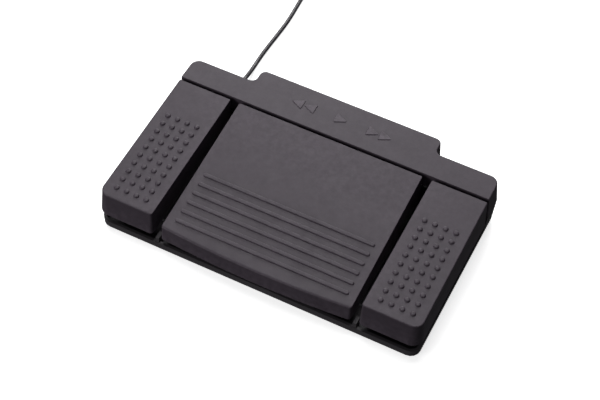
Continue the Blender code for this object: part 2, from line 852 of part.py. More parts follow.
def add_cover():
    corners = body_corners(COVER_FRONT, 0.0008)
    low_corners = body_corners(COVER_FRONT, 0.0008, LOW_REAR_RADIUS)
    count = len(corners)
    lean = [0.0] + [DRAFT] * (count - 1)
    bottom = PART_LINE + GAP

    rings = [ring_at(low_corners, [a * (COVER_TOP - bottom) for a in lean], bottom)]
    for inset, drop in ((0.0, EDGE), (0.3 * EDGE, 0.3 * EDGE), (EDGE, 0.0)):
        rings.append(ring_at(corners, [-inset] * count, COVER_TOP - drop))
    cover = loft("rear_cover", rings, CASE)

    deep = 0.004
    hollow = [
        ring_at(low_corners, [a * (COVER_TOP - bottom + deep) - WALL for a in lean], bottom - deep),
        ring_at(corners, [-WALL] * count, COVER_TOP - WALL),
    ]
    boolean(cover, loft("cover_hollow", hollow), "DIFFERENCE")

    shape = bmesh.new()
    inside = HALF_WIDTH - WALL
    add_box(
        shape,
        (-inside, COVER_FRONT - WALL, bottom - deep),
        (inside, COVER_FRONT + 1.5 * WALL, COVER_SKIRT),
    )
    boolean(cover, finish_mesh("cover_front_opening", shape), "DIFFERENCE")

    shape = bmesh.new()
    under = COVER_TOP - 0.5 * WALL
    for x in SADDLES:
        add_box(
            shape,
            (x - SADDLE_THICK / 2, PIVOT_Y - 0.0040, PIVOT_Z + ROD_RADIUS + GAP),
            (x + SADDLE_THICK / 2, PIVOT_Y + 0.0040, under),
        )
    for x, y in COVER_SCREWS:
        add_rod(shape, (x, y, POST_TOP + GAP), (x, y, under), BOSS_RADIUS)
    emblem(shape, COVER_TOP - 0.0010, COVER_TOP + 0.0005)
    boolean(cover, finish_mesh("cover_fittings", shape), "UNION")

    shape = bmesh.new()
    for x, y in COVER_SCREWS:
        add_rod(shape, (x, y, POST_TOP - 0.001), (x, y, 0.0320), HOLE)
    boolean(cover, finish_mesh("cover_screw_holes", shape), "DIFFERENCE")


# --- Hardware ---------------------------------------------------------------------------------


def add_screw(name, x, y, head_low, head_high, tip, radius=SCREW_HEAD):
    """A pan-head screw that stands upright, its head below the shank or above it."""
    down = tip < head_low
    seat = head_low if down else head_high
    crown = head_high if down else head_low
    edge = crown + (seat - crown) * 0.35
    profile = [
        (0.0, crown),
        (radius * 0.72, crown),
        (radius, edge),
        (radius, seat),
        (SCREW_RADIUS, seat),
        (SCREW_RADIUS, tip + (seat - tip) * 0.08),
        (0.0, tip),
    ]
    if not down:
        profile.reverse()
    turned(name, profile, STEEL, Matrix.Translation((x, y, 0)))


def add_hardware():
    shape = bmesh.new()
    reach = HALF_WIDTH - WALL - 0.0008
    add_rod(shape, (-reach, PIVOT_Y, PIVOT_Z), (reach, PIVOT_Y, PIVOT_Z), ROD_RADIUS, segments=16)
    finish_mesh("hinge_rod", shape, STEEL)

    corners = [
        (-PLATE_HALF, PLATE_FRONT, 0.004),
        (PLATE_HALF, PLATE_FRONT, 0.004),
        (PLATE_HALF, PLATE_REAR, 0.004),
        (-PLATE_HALF, PLATE_REAR, 0.004),
    ]
    low = BASE_BOTTOM + FLOOR + GAP
    flat = [0.0] * 4
    rings = [ring_at(corners, flat, low), ring_at(corners, flat, low + PLATE_THICK)]
    plate = loft("ballast_plate", rings, PLATED)
    shape = bmesh.new()
    for x in SPRING_X.values():
        add_rod(shape, (x, SPRING_Y, 0), (x, SPRING_Y, 0.02), CUP_OUTER + GAP, segments=20)
    for x, y in PLATE_SCREWS:
        add_rod(shape, (x, y, 0), (x, y, 0.02), HOLE)
    boolean(plate, finish_mesh("plate_holes", shape), "DIFFERENCE")

    for i, (x, y) in enumerate(COVER_SCREWS, start=1):
        add_screw(f"cover_screw_{i}", x, y, BASE_BOTTOM + 0.0001, BASE_BOTTOM + 0.0019, 0.0290)
    plate_top = low + PLATE_THICK + GAP
    for i, (x, y) in enumerate(PLATE_SCREWS, start=1):
        add_screw(f"plate_screw_{i}", x, y, plate_top, plate_top + 0.0016, BASE_BOTTOM + 0.0011)
    board_top = STANDOFF_TOP + GAP + BOARD_THICK + GAP
    for i, (x, y) in enumerate(BOARD_SCREWS, start=1):
        add_screw(f"board_screw_{i}", x, y, board_top, board_top + 0.0014, BASE_BOTTOM + 0.0020, 0.0026)

    for word, x in STOP_X.items():
        shape = bmesh.new()
        add_box(
            shape,
            (x - 0.0080, STOP_Y - 0.0035, BASE_BOTTOM + FLOOR + GAP),
            (x + 0.0080, STOP_Y + 0.0035, STOP_TOP),
        )
        pad = finish_mesh(f"{word}_stop_pad", shape, RUBBER)
        bevel = pad.modifiers.new("soft_edges", "BEVEL")
        bevel.width = 0.0006
        bevel.segments = 1

    for word, (x, y) in FEET.items():
        profile = [
            (0.0, BASE_BOTTOM + FOOT_RECESS - GAP),
            (FOOT_RADIUS, BASE_BOTTOM + FOOT_RECESS - GAP),
            (FOOT_RADIUS, 0.0007),
            (FOOT_RADIUS - 0.0007, 0.0),
            (0.0, 0.0),
        ]
        turned(f"{word}_foot", profile, RUBBER, Matrix.Translation((x, y, 0)), segments=16)


def add_springs():
    """Return springs: open coils with one flat turn at each end."""
    points_per_turn = 7
    flat = 1 / (SPRING_TURNS + 2)
    steps = (SPRING_TURNS + 2) * points_per_turn
    for word, x in SPRING_X.items():
        points = []
        for i in range(steps + 1):
            share = i / steps
            rise = min(max((share - flat) / (1 - 2 * flat), 0.0), 1.0)
            close = 2.2 * SPRING_WIRE * (share - rise) / flat
            angle = math.tau * i / points_per_turn
            low, high = SPRING_LOW + SPRING_WIRE, SPRING_HIGH - SPRING_WIRE
            points.append(
                (
                    x + SPRING_RADIUS * math.cos(angle),
                    SPRING_Y + SPRING_RADIUS * math.sin(angle),
                    low + (high - low) * rise + close,
                )
            )
        tube(f"{word}_spring", points, SPRING_WIRE, STEEL)


# --- Circuit board and switches ---------------------------------------------------------------


def add_board():
    low = STANDOFF_TOP + GAP
    top = low + BOARD_THICK
    shape = bmesh.new()
    add_box(shape, (-BOARD_HALF, BOARD_FRONT, low), (BOARD_HALF, BOARD_REAR, top))
    board = finish_mesh("circuit_board", shape, BOARD)
    shape = bmesh.new()
    for x, y in BOARD_SCREWS:
        add_rod(shape, (x, y, 0), (x, y, 0.03), HOLE)
    boolean(board, finish_mesh("board_holes", shape), "DIFFERENCE")

    wide, deep, tall = SWITCH_SIZE
    seat = top + GAP
    for word, x in SWITCH_X.items():
        shape = bmesh.new()
        add_box(
            shape,
            (x - wide / 2, SWITCH_Y - deep / 2, seat),
            (x + wide / 2, SWITCH_Y + deep / 2, seat + tall),
        )
        body = finish_mesh(f"{word}_switch", shape, SWITCH)
        bevel = body.modifiers.new("moulded_edges", "BEVEL")
        bevel.width = 0.0005
        bevel.segments = 1
        travel = (PIVOT_Y - SWITCH_Y) * math.sin(PRESS_ANGLE)
        plunger_low = PLUNGER_TOP - PLUNGER_LENGTH
        shape = bmesh.new()
        add_rod(
            shape,
            (x, SWITCH_Y, plunger_low - travel - GAP),
            (x, SWITCH_Y, PLUNGER_TOP),
            PLUNGER_RADIUS + GAP,
        )
        boolean(body, finish_mesh(f"{word}_switch_well", shape), "DIFFERENCE")

        profile = [
            (0.0, PLUNGER_TOP),
            (PLUNGER_RADIUS - 0.0005, PLUNGER_TOP),
            (PLUNGER_RADIUS, PLUNGER_TOP - 0.0005),
            (PLUNGER_RADIUS, plunger_low),
            (0.0, plunger_low),
        ]
        place = Matrix.Translation((x, SWITCH_Y, 0))
        turned(f"{word}_plunger", profile, BUTTON, place, segments=14)

    shape = bmesh.new()
    add_box(shape, (HEADER_X - 0.0040, 0.0190, seat), (HEADER_X + 0.0040, 0.0270, seat + 0.0060))
    header = finish_mesh("cord_header", shape, HEADER)
    bevel = header.modifiers.new("moulded_edges", "BEVEL")
    bevel.width = 0.0004
    bevel.segments = 1


# --- Cord -------------------------------------------------------------------------------------


def lead_point(angle):
    """Centreline of the cord where it drops from the coil's top turn to its plug."""
    outer = COIL_MEAN_RADIUS + COIL_HALF - CORD_RADIUS
    spread = ease((angle - LEAD_START) / (math.pi - LEAD_START))
    radius = outer + (COIL_CENTRE[0] - PLUG_X - outer) * spread
    top = COIL_BOTTOM + 2 * COIL_HALF - CORD_RADIUS
    fall = ease((angle - LEAD_DROP) / (math.pi - LEAD_DROP))
    return (
        COIL_CENTRE[0] + radius * math.cos(angle),
        COIL_CENTRE[1] + radius * math.sin(angle),
        top + (PLUG_Z - top) * fall,
    )


def add_cord():
    """Strain relief, cord, coil with its tie, and plug."""
    tail = RELIEF_TIP - COVER_REAR
    flange = wall_growth(CORD_EXIT_Z) + 0.0005
    profile = [
        (0.0, tail),
        (0.0023, tail),
        (0.0034, flange + 0.0014),
        (0.0052, flange + 0.0014),
        (0.0052, flange),
        (0.0032, flange),
        (0.0032, -0.0027),
        (0.0048, -0.0027),
        (0.0048, -0.0041),
        (0.0, -0.0041),
    ]
    facing = Matrix.Rotation(math.radians(-90), 4, "X")
    place = Matrix.Translation((CORD_X, COVER_REAR, CORD_EXIT_Z)) @ facing
    turned("strain_relief", profile, RUBBER, place)

    tube("inner_lead", smooth_line(INNER_ROUTE, 3 * CORD_RADIUS), 0.8 * CORD_RADIUS, CORD)

    tube("cord_lead", smooth_line(CORD_ROUTE, 5 * CORD_RADIUS), CORD_RADIUS, CORD)

    low, high = COIL_MEAN_RADIUS - COIL_HALF, COIL_MEAN_RADIUS + COIL_HALF
    bottom, top = COIL_BOTTOM, COIL_BOTTOM + 2 * COIL_HALF
    soft = CORD_RADIUS * 0.7
    profile = [
        (low + soft, bottom),
        (high - soft, bottom),
        (high, bottom + soft),
        (high, top - soft),
        (high - soft, top),
        (low + soft, top),
        (low, top - soft),
        (low, bottom + soft),
    ]
    turned_ring("cord_coil", profile, CORD, Matrix.Translation((*COIL_CENTRE, 0)))

    slack = GAP + 0.0002
    shape = bmesh.new()
    add_box(
        shape,
        (low - 2 * slack - TIE_THICK, -TIE_WIDTH / 2, bottom - GAP - 0.9 * TIE_THICK),
        (high + slack + TIE_THICK, TIE_WIDTH / 2, top + slack + TIE_THICK),
    )
    tie = finish_mesh("cord_tie", shape, TIE)
    shape = bmesh.new()
    add_box(
        shape,
        (low - 2 * slack, -TIE_WIDTH, bottom - GAP),
        (high + slack, TIE_WIDTH, top + slack),
    )
    window = finish_mesh("tie_window", shape)
    boolean(tie, window, "DIFFERENCE")
    place = Matrix.Translation((*COIL_CENTRE, 0)) @ Matrix.Rotation(TIE_ANGLE, 4, "Z")
    tie.matrix_world = place
    window.matrix_world = place

    steps = 12
    drop = [
        lead_point(LEAD_CLEAR + (math.pi - LEAD_CLEAR) * i / steps) for i in range(steps + 1)
    ]
    tube("cord_plug_lead", [*drop, (PLUG_X, PLUG_REAR + GAP, PLUG_Z)], CORD_RADIUS, CORD)

    length = PLUG_BOOT + PLUG_GRIP
    profile = [
        (0.0, length),
        (PLUG_RADIUS - 0.0008, length),
        (PLUG_RADIUS, length - 0.0008),
        (PLUG_RADIUS, PLUG_BOOT + 0.0010),
        (PLUG_RADIUS - 0.0010, PLUG_BOOT),
        (0.0030, PLUG_BOOT - 0.0005),
        (0.0022, 0.0),
        (0.0, 0.0),
    ]
    facing = Matrix.Rotation(math.radians(90), 4, "X")
    place = Matrix.Translation((PLUG_X, PLUG_REAR, PLUG_Z)) @ facing
    turned("plug_body", profile, RUBBER, place)

    base = length + GAP
    tip = base + CONTACT_LENGTH
    neck = CONTACT_RADIUS * 0.66
    profile = [
        (0.0, tip),
        (CONTACT_RADIUS * 0.35, tip),
        (CONTACT_RADIUS, tip - 0.0020),
        (neck, tip - 0.0034),
        (CONTACT_RADIUS, tip - 0.0042),
        (CONTACT_RADIUS, base + 0.0010),
        (CONTACT_RADIUS + 0.0010, base + 0.0010),
        (CONTACT_RADIUS + 0.0010, base),
        (0.0, base),
    ]
    turned("plug_contact", profile, GOLD, place, segments=14)


add_tray()
add_cover()
add_pedals()
add_hardware()
add_springs()
add_board()
add_cord()
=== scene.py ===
"""Looks of the three-pedal foot control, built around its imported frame."""

import json
import math

import bmesh
import bpy
from mathutils import Matrix, Vector


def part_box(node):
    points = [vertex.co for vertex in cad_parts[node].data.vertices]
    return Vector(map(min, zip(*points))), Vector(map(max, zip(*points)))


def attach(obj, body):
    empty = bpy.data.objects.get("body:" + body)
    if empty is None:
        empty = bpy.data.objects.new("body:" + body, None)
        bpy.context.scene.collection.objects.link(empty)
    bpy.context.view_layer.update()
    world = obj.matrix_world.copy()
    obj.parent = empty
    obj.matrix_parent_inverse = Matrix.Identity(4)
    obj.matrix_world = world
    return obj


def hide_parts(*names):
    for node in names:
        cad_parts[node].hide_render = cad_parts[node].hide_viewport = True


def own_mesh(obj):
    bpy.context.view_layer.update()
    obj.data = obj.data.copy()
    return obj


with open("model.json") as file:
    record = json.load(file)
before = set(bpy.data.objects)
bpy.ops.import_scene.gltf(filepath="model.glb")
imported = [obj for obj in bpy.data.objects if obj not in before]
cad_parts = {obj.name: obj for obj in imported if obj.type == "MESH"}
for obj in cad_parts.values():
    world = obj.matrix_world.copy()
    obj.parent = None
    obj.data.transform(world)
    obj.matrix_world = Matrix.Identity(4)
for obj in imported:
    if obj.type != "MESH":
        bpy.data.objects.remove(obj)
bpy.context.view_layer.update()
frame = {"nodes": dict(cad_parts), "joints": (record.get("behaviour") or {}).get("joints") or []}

# --- Places, from the frame -------------------------------------------------------------------

JOINTS = {joint["name"]: joint for joint in frame["joints"]}
PIVOT = Vector(JOINTS["centre_pedal_hinge"]["pos_m"])
COVER_LOW, COVER_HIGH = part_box("rear_cover")
COIL_LOW, COIL_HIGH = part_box("cord_coil")
PLUG_LOW, PLUG_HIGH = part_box("plug_body")
RELIEF_LOW, RELIEF_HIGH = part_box("strain_relief")

# --- Sizes that the solids share, in metres ---------------------------------------------------

GAP = 0.0003
WALL = 0.0022
DRAFT = 0.077
INNER_DRAFT = 0.026
EDGE = 0.0009
PEDAL_LENGTH = 0.1176
PEDAL_REAR_TOP = 0.0431
SIDE_FRONT_TOP = 0.0384
CENTRE_FRONT_TOP = 0.0293
SIDE_INNER = 0.0816
CENTRE_HALF = 0.0744
CENTRE_BOW = 0.00317
SIDE_SKIRT = 0.0174
CENTRE_SKIRT = 0.0160
COVER_SKIRT = 0.0310
EMBLEM_HEIGHT = 0.0005
CORNER_RADIUS = 0.0072
LOW_REAR_RADIUS = 0.0046
TAB_RADIUS = 0.0048
TAB_HALF = 0.0740

COVER_FRONT = COVER_LOW.y
PEDAL_REAR = COVER_FRONT - 0.0031
PEDAL_FRONT = PEDAL_REAR - PEDAL_LENGTH
# The two sides of the slot between cover and pedals, which make it 0.8 mm narrower than the solids do.
SHELL_REAR = PEDAL_REAR + 0.0005
COVER_EDGE = COVER_FRONT - 0.0003
COVER_TOP = COVER_HIGH.z - EMBLEM_HEIGHT
COVER_BOTTOM = 0.0233
COVER_LEAN = DRAFT * (COVER_TOP - COVER_BOTTOM)
HALF_WIDTH = COVER_HIGH.x - COVER_LEAN
TAB_REAR = COVER_HIGH.y - COVER_LEAN
COVER_REAR = TAB_REAR - 0.0137
SIDE_MIDDLE = (SIDE_INNER + HALF_WIDTH) / 2

BUMP_COLUMNS = 4
BUMP_ROWS = 10
BUMP_PITCH_X = 0.00804
BUMP_PITCH_Y = 0.0082
BUMP_FIRST = 0.0343
RIB_COUNT = 6
RIB_FIRST = 0.0664
RIB_PITCH = 0.00838
RIB_HALF_LENGTH = 0.0680

CORD_RADIUS = 0.00165
# The cord's run from the strain relief to the coil, the same points as in the part's source.
CORD_ROUTE = (
    (-0.0955, 0.0803, 0.0120),
    (-0.0955, 0.0870, 0.0117),
    (-0.0961, 0.0940, 0.0098),
    (-0.0973, 0.1015, 0.0065),
    (-0.0985, 0.1090, 0.0035),
    (-0.0993, 0.1170, 0.0020),
    (-0.0996, 0.1280, 0.0018),
    (-0.0994, 0.1380, 0.0018),
    (-0.0990, 0.1480, 0.0018),
    (-0.0986, 0.1580, 0.0018),
    (-0.0984, 0.1680, 0.0018),
    (-0.0987, 0.1790, 0.0018),
    (-0.0994, 0.1900, 0.0018),
    (-0.1001, 0.2010, 0.0020),
    (-0.1005, 0.2110, 0.0023),
    (-0.10055, 0.2187, 0.0025),
)

# --- Camera -----------------------------------------------------------------------------------

# The photo's viewpoint, worked out from the object's corners and its proportions.
CAMERA_PLACE = (0.2746, -0.6205, 0.8869)
CAMERA_AZIMUTH = math.radians(24.05)
CAMERA_ELEVATION = math.radians(52.02)
CAMERA_ROLL = math.radians(3.13)
CAMERA_LENS = 90.93


def add_camera():
    """A plain camera with no depth of field and no shift."""
    camera = bpy.data.objects.new("camera", bpy.data.cameras.new("camera"))
    camera.data.lens = CAMERA_LENS
    camera.data.sensor_width = 36
    camera.data.clip_end = 50
    level = Matrix.Rotation(CAMERA_AZIMUTH, 3, "Z") @ Matrix.Rotation(
        math.pi / 2 - CAMERA_ELEVATION, 3, "X"
    )
    turned = level @ Matrix.Rotation(CAMERA_ROLL, 3, "Z")
    camera.matrix_world = Matrix.Translation(CAMERA_PLACE) @ turned.to_4x4()
    bpy.context.scene.collection.objects.link(camera)
    bpy.context.scene.camera = camera


# --- Materials --------------------------------------------------------------------------------


class Surface:
    """A Principled material with short calls for the procedural nodes that feed it."""

    def __init__(self, name, colour, roughness, metallic=0.0, coat=0.0, specular=0.5):
        self.material = bpy.data.materials.new(name)
        self.material.use_nodes = True
        self.tree = self.material.node_tree
        self.shader = self.tree.nodes["Principled BSDF"]
        self.shader.inputs["Base Color"].default_value = (*colour, 1.0)
        self.shader.inputs["Roughness"].default_value = roughness
        self.shader.inputs["Metallic"].default_value = metallic
        self.shader.inputs["Coat Weight"].default_value = coat
        self.shader.inputs["Specular IOR Level"].default_value = specular
        self.place = self.tree.nodes.new("ShaderNodeTexCoord").outputs["Object"]
        self.height = None

    def node(self, kind, **settings):
        made = self.tree.nodes.new(kind)
        for key, value in settings.items():
            setattr(made, key, value)
        return made

    def link(self, source, target):
        self.tree.links.new(source, target)

    def noise(self, size, detail=2.0, roughness=0.5, stretch=None):
        """Noise whose features are about a size across, in metres."""
        place = self.place
        if stretch:
            scale = self.node("ShaderNodeMapping")
            scale.inputs["Scale"].default_value = stretch
            self.link(place, scale.inputs["Vector"])
            place = scale.outputs["Vector"]
        made = self.node("ShaderNodeTexNoise")
        made.inputs["Scale"].default_value = 1 / size
        made.inputs["Detail"].default_value = detail
        made.inputs["Roughness"].default_value = roughness
        self.link(place, made.inputs["Vector"])
        return made.outputs["Fac"]

    def ramp(self, source, low, high, from_low=0.3, from_high=0.7):
        """A value spread from low to high as the source goes between two levels."""
        made = self.node("ShaderNodeMapRange")
        for key, value in zip(range(1, 5), (from_low, from_high, low, high)):
            made.inputs[key].default_value = value
        self.link(source, made.inputs[0])
        return made.outputs[0]

    def mix(self, amount, first, second):
        """A colour between two, each a colour or an output."""
        made = self.node("ShaderNodeMix", data_type="RGBA")
        self.link(amount, made.inputs["Factor"])
        for value, socket in ((first, made.inputs[6]), (second, made.inputs[7])):
            if isinstance(value, tuple):
                socket.default_value = (*value, 1.0)
            else:
                self.link(value, socket)
        return made.outputs[2]

    def add(self, *values):
        """The sum of several outputs."""
        total = values[0]
        for value in values[1:]:
            made = self.node("ShaderNodeMath", operation="ADD")
            self.link(total, made.inputs[0])
            self.link(value, made.inputs[1])
            total = made.outputs[0]
        return total

    def times(self, first, second):
        made = self.node("ShaderNodeMath", operation="MULTIPLY")
        for value, socket in ((first, made.inputs[0]), (second, made.inputs[1])):
            if isinstance(value, (int, float)):
                socket.default_value = value
            else:
                self.link(value, socket)
        return made.outputs[0]

    def colour(self, output):
        self.link(output, self.shader.inputs["Base Color"])

    def roughness(self, output):
        self.link(output, self.shader.inputs["Roughness"])

    def bump(self, height, distance, strength=1.0):
        """Adds one layer of bump, its height in metres for a source from 0 to 1."""
        made = self.node("ShaderNodeBump")
        made.inputs["Strength"].default_value = strength
        made.inputs["Distance"].default_value = distance
        self.link(height, made.inputs["Height"])
        if self.height:
            self.link(self.height, made.inputs["Normal"])
        self.height = made.outputs["Normal"]
        self.link(self.height, self.shader.inputs["Normal"])


def moulded_plastic(name, colour, lighter, roughness, grain=0.00032, depth=0.000007):
    """Satin plastic: faint clouds in its colour, fine moulded grain and rubbed edges."""
    made = Surface(name, colour, roughness, specular=0.25)
    clouds = made.noise(0.022, 3.0, 0.55)
    specks = made.noise(0.0011, 2.0, 0.6)
    shade = made.ramp(made.add(made.times(clouds, 0.7), made.times(specks, 0.3)), 0.0, 1.0)
    body = made.mix(shade, colour, lighter)
    wear = made.node("ShaderNodeAttribute", attribute_name="wear").outputs["Fac"]
    scuffed = made.times(wear, made.ramp(made.noise(0.004, 4.0, 0.65), 0.05, 0.75, 0.35, 0.65))
    rubbed = tuple(min(1.0, 1.8 * c + 0.012) for c in lighter)
    made.colour(made.mix(scuffed, body, rubbed))
    dull = made.ramp(made.noise(0.009, 3.0, 0.6), roughness - 0.035, roughness + 0.045)
    made.roughness(dull)
    made.bump(made.noise(grain, 2.0, 0.6), depth)
    made.bump(made.noise(0.009, 2.0, 0.5), 0.00002, 0.35)
    return made.material


def rubber(name, colour, roughness):
    """Matt rubber with a powdery bloom and small pits."""
    made = Surface(name, colour, roughness, specular=0.35)
    bloom = made.ramp(made.noise(0.004, 4.0, 0.65), 0.0, 1.0, 0.45, 0.8)
    pale = tuple(2.1 * c + 0.006 for c in colour)
    made.colour(made.mix(bloom, colour, pale))
    made.roughness(made.ramp(made.noise(0.002, 3.0), roughness - 0.06, roughness + 0.06))
    made.bump(made.noise(0.0005, 3.0, 0.6), 0.00003)
    return made.material


def cord_jacket(name, colour):
    """Soft vinyl jacket: smooth, with faint draw lines and a dusty film."""
    made = Surface(name, colour, 0.42)
    dust = made.ramp(made.noise(0.006, 4.0, 0.6), 0.0, 1.0, 0.45, 0.85)
    made.colour(made.mix(dust, colour, tuple(1.8 * c + 0.01 for c in colour)))
    made.roughness(made.ramp(made.noise(0.003, 2.0), 0.36, 0.5))
    made.bump(made.noise(0.0009, 2.0, 0.5), 0.00002)
    return made.material


def drawn_steel(name, colour, roughness, lines=(1.0, 1.0, 1.0), grain=0.0004):
    """Metal with fine lines along its length and a few dull spots."""
    made = Surface(name, colour, roughness, metallic=1.0)
    spots = made.ramp(made.noise(0.003, 4.0, 0.7), 0.0, 1.0, 0.5, 0.8)
    made.colour(made.mix(spots, colour, tuple(0.62 * c for c in colour)))
    made.roughness(made.ramp(made.noise(0.0015, 3.0), roughness - 0.08, roughness + 0.12))
    made.bump(made.noise(grain, 2.0, 0.5, stretch=lines), 0.00001)
    return made.material


def painted_steel(name, colour):
    """Black stove paint on sheet steel, with a light orange-peel surface."""
    made = Surface(name, colour, 0.5)
    tone = made.ramp(made.noise(0.012, 3.0), 0.0, 1.0)
    made.colour(made.mix(tone, colour, tuple(1.5 * c for c in colour)))
    made.roughness(made.ramp(made.noise(0.004, 2.0), 0.45, 0.6))
    made.bump(made.noise(0.0014, 1.0), 0.00004)
    return made.material


def board_mask(name):
    """Green solder mask over copper tracks that show as a lighter, raised pattern."""
    green, track = (0.004, 0.020, 0.010), (0.009, 0.034, 0.017)
    made = Surface(name, green, 0.35, coat=0.3)
    brick = made.node("ShaderNodeTexBrick")
    made.link(made.place, brick.inputs["Vector"])
    for key, value in (("Scale", 55.0), ("Mortar Size", 0.06), ("Brick Width", 0.9)):
        brick.inputs[key].default_value = value
    wobble = made.ramp(made.noise(0.01, 2.0), 0.7, 1.0)
    lines = made.times(brick.outputs["Fac"], wobble)
    made.colour(made.mix(lines, green, track))
    made.roughness(made.ramp(made.noise(0.004, 2.0), 0.3, 0.42))
    made.bump(lines, 0.00003)
    return made.material


def glossy_plastic(name, colour):
    """Small glossy moulding with faint sink marks."""
    made = Surface(name, colour, 0.3)
    tone = made.ramp(made.noise(0.003, 3.0), 0.0, 1.0)
    made.colour(made.mix(tone, colour, tuple(min(1.0, 1.25 * c + 0.004) for c in colour)))
    made.roughness(made.ramp(made.noise(0.002, 2.0), 0.24, 0.38))
    made.bump(made.noise(0.0018, 1.0), 0.00002)
    return made.material


CASE = moulded_plastic("case_plastic", (0.037, 0.029, 0.038), (0.047, 0.037, 0.048), 0.5)
TRAY = moulded_plastic("tray_plastic", (0.040, 0.036, 0.040), (0.050, 0.046, 0.051), 0.5)
RUBBER = rubber("black_rubber", (0.016, 0.016, 0.017), 0.78)
JACKET = cord_jacket("cord_black", (0.030, 0.028, 0.032))
ROD_STEEL = drawn_steel("rod_steel", (0.56, 0.56, 0.57), 0.3, lines=(0.05, 1.0, 1.0))
SPRING_STEEL = drawn_steel("spring_steel", (0.50, 0.50, 0.52), 0.28)
SCREW_STEEL = drawn_steel("screw_steel", (0.46, 0.45, 0.43), 0.36)
PLATE_PAINT = painted_steel("plate_paint", (0.022, 0.022, 0.024))
GOLD = drawn_steel("plug_gold", (0.76, 0.57, 0.27), 0.22, lines=(1.0, 1.0, 4.0))
BOARD = board_mask("board_green")
SWITCH = glossy_plastic("switch_black", (0.014, 0.014, 0.015))
BUTTON = glossy_plastic("plunger_red", (0.42, 0.035, 0.028))
HEADER = glossy_plastic("header_white", (0.66, 0.64, 0.58))
TIE = rubber("tie_black", (0.014, 0.014, 0.015), 0.6)
BAND = glossy_plastic("insulator_black", (0.012, 0.012, 0.012))

# --- Mesh tools -------------------------------------------------------------------------------


def new_object(name, mesh, material=None):
    made = bpy.data.objects.new(name, mesh)
    if material:
        mesh.materials.append(material)
    bpy.context.scene.collection.objects.link(made)
    return made


def from_bmesh(name, shape, material=None):
    bmesh.ops.recalc_face_normals(shape, faces=shape.faces)
    mesh = bpy.data.meshes.new(name)
    shape.to_mesh(mesh)
    shape.free()
    return new_object(name, mesh, material)


def join(target, tool, operation):
    """Applies one exact Boolean to the target and removes the tool."""
    step = target.modifiers.new("join", "BOOLEAN")
    step.operation = operation
    step.object = tool
    step.solver = "EXACT"
    bpy.context.view_layer.update()
    graph = bpy.context.evaluated_depsgraph_get()
    mesh = bpy.data.meshes.new_from_object(target.evaluated_get(graph))
    target.modifiers.clear()
    target.data = mesh
    bpy.data.objects.remove(tool)


def edge_wear(mesh):
    """Stores on each point how sharp a corner it sits on, from 0 to 1, for the material's wear."""
    shape = bmesh.new()
    shape.from_mesh(mesh)
    wear = mesh.attributes.new("wear", "FLOAT", "POINT")
    for vert in shape.verts:
        turn = [e.calc_face_angle_signed(0.0) for e in vert.link_edges if len(e.link_faces) == 2]
        wear.data[vert.index].value = min(1.0, max([0.0, *turn]) / 0.7)
    shape.free()


def settle(piece, body, nodes=(), smooth_angle=32, weld=0.000004):
    """Cleans a finished mesh, shades it and puts it on its body."""
    shape = bmesh.new()
    shape.from_mesh(piece.data)
    bmesh.ops.remove_doubles(shape, verts=shape.verts, dist=weld)
    bmesh.ops.dissolve_degenerate(shape, edges=shape.edges, dist=weld)
    shape.to_mesh(piece.data)
    shape.free()
    edge_wear(piece.data)
    piece.data.shade_smooth()
    piece.data.set_sharp_from_angle(angle=math.radians(smooth_angle))
    weighted = piece.modifiers.new("weighted", "WEIGHTED_NORMAL")
    weighted.keep_sharp = True
    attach(piece, body)
    if nodes:
        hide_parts(*nodes)
    return piece


def add_box(shape, low, high):
    low, high = Vector(low), Vector(high)
    place = Matrix.Translation((low + high) / 2) @ Matrix.Diagonal((*(high - low), 1.0))
    bmesh.ops.create_cube(shape, size=1.0, matrix=place)


def box(name, low, high):
    shape = bmesh.new()
    add_box(shape, low, high)
    return from_bmesh(name, shape)


def edge_normals(corners):
    """Outward directions of an outline's edges, taken anticlockwise."""
    normals = []
    for i, corner in enumerate(corners):
        after = corners[(i + 1) % len(corners)]
        along = Vector((after[0] - corner[0], after[1] - corner[1])).normalized()
        normals.append(Vector((along.y, -along.x)))
    return normals


def grown(corners, amounts):
    """Moves each edge of an outline of (x, y, radius) corners outward by its own amount."""
    normals = edge_normals(corners)
    moved = []
    for i, (x, y, radius) in enumerate(corners):
        before, after = normals[i - 1], normals[i]
        low, high = amounts[i - 1], amounts[i]
        turn = before.x * after.y - before.y * after.x
        if abs(turn) < 0.2:
            shift = (before + after) * (low + high) / 2 / (1 + before.dot(after))
        else:
            shift = Vector((low * after.y - high * before.y, high * before.x - low * after.x)) / turn
        outward = (low + high) / 2 if turn > 0 else -(low + high) / 2
        kept = max(radius + outward, 0.0004) if radius > 0 else 0.0
        moved.append((x + shift.x, y + shift.y, kept))
    return moved


def rounded(corners, steps):
    """Points along an outline whose corners with a radius are arcs."""
    points = []
    for i, (x, y, radius) in enumerate(corners):
        here = Vector((x, y))
        if radius == 0:
            points.append(here)
            continue
        before = (Vector(corners[i - 1][:2]) - here).normalized()
        after = (Vector(corners[(i + 1) % len(corners)][:2]) - here).normalized()
        half = before.angle(after) / 2
        centre = here + (before + after).normalized() * radius / math.sin(half)
        start = here + before * radius / math.tan(half) - centre
        end = here + after * radius / math.tan(half) - centre
        sweep = start.angle_signed(end)
        for step in range(steps + 1):
            points.append(centre + Matrix.Rotation(-sweep * step / steps, 2) @ start)
    return points


def ring_at(corners, amounts, height, steps=12):
    """A rounded outline grown by per-edge amounts, at a height that may depend on y."""
    return [
        (p.x, p.y, height(p.y) if callable(height) else height)
        for p in rounded(grown(corners, amounts), steps)
    ]


def skin(shape, rings):
    """Skins a closed body through rings of equal number of points."""
    rings = [[shape.verts.new(point) for point in ring] for ring in rings]
    count = len(rings[0])
    for low, high in zip(rings, rings[1:]):
        for i in range(count):
            j = (i + 1) % count
            shape.faces.new((low[i], low[j], high[j], high[i]))
    shape.faces.new(reversed(rings[0]))
    shape.faces.new(rings[-1])


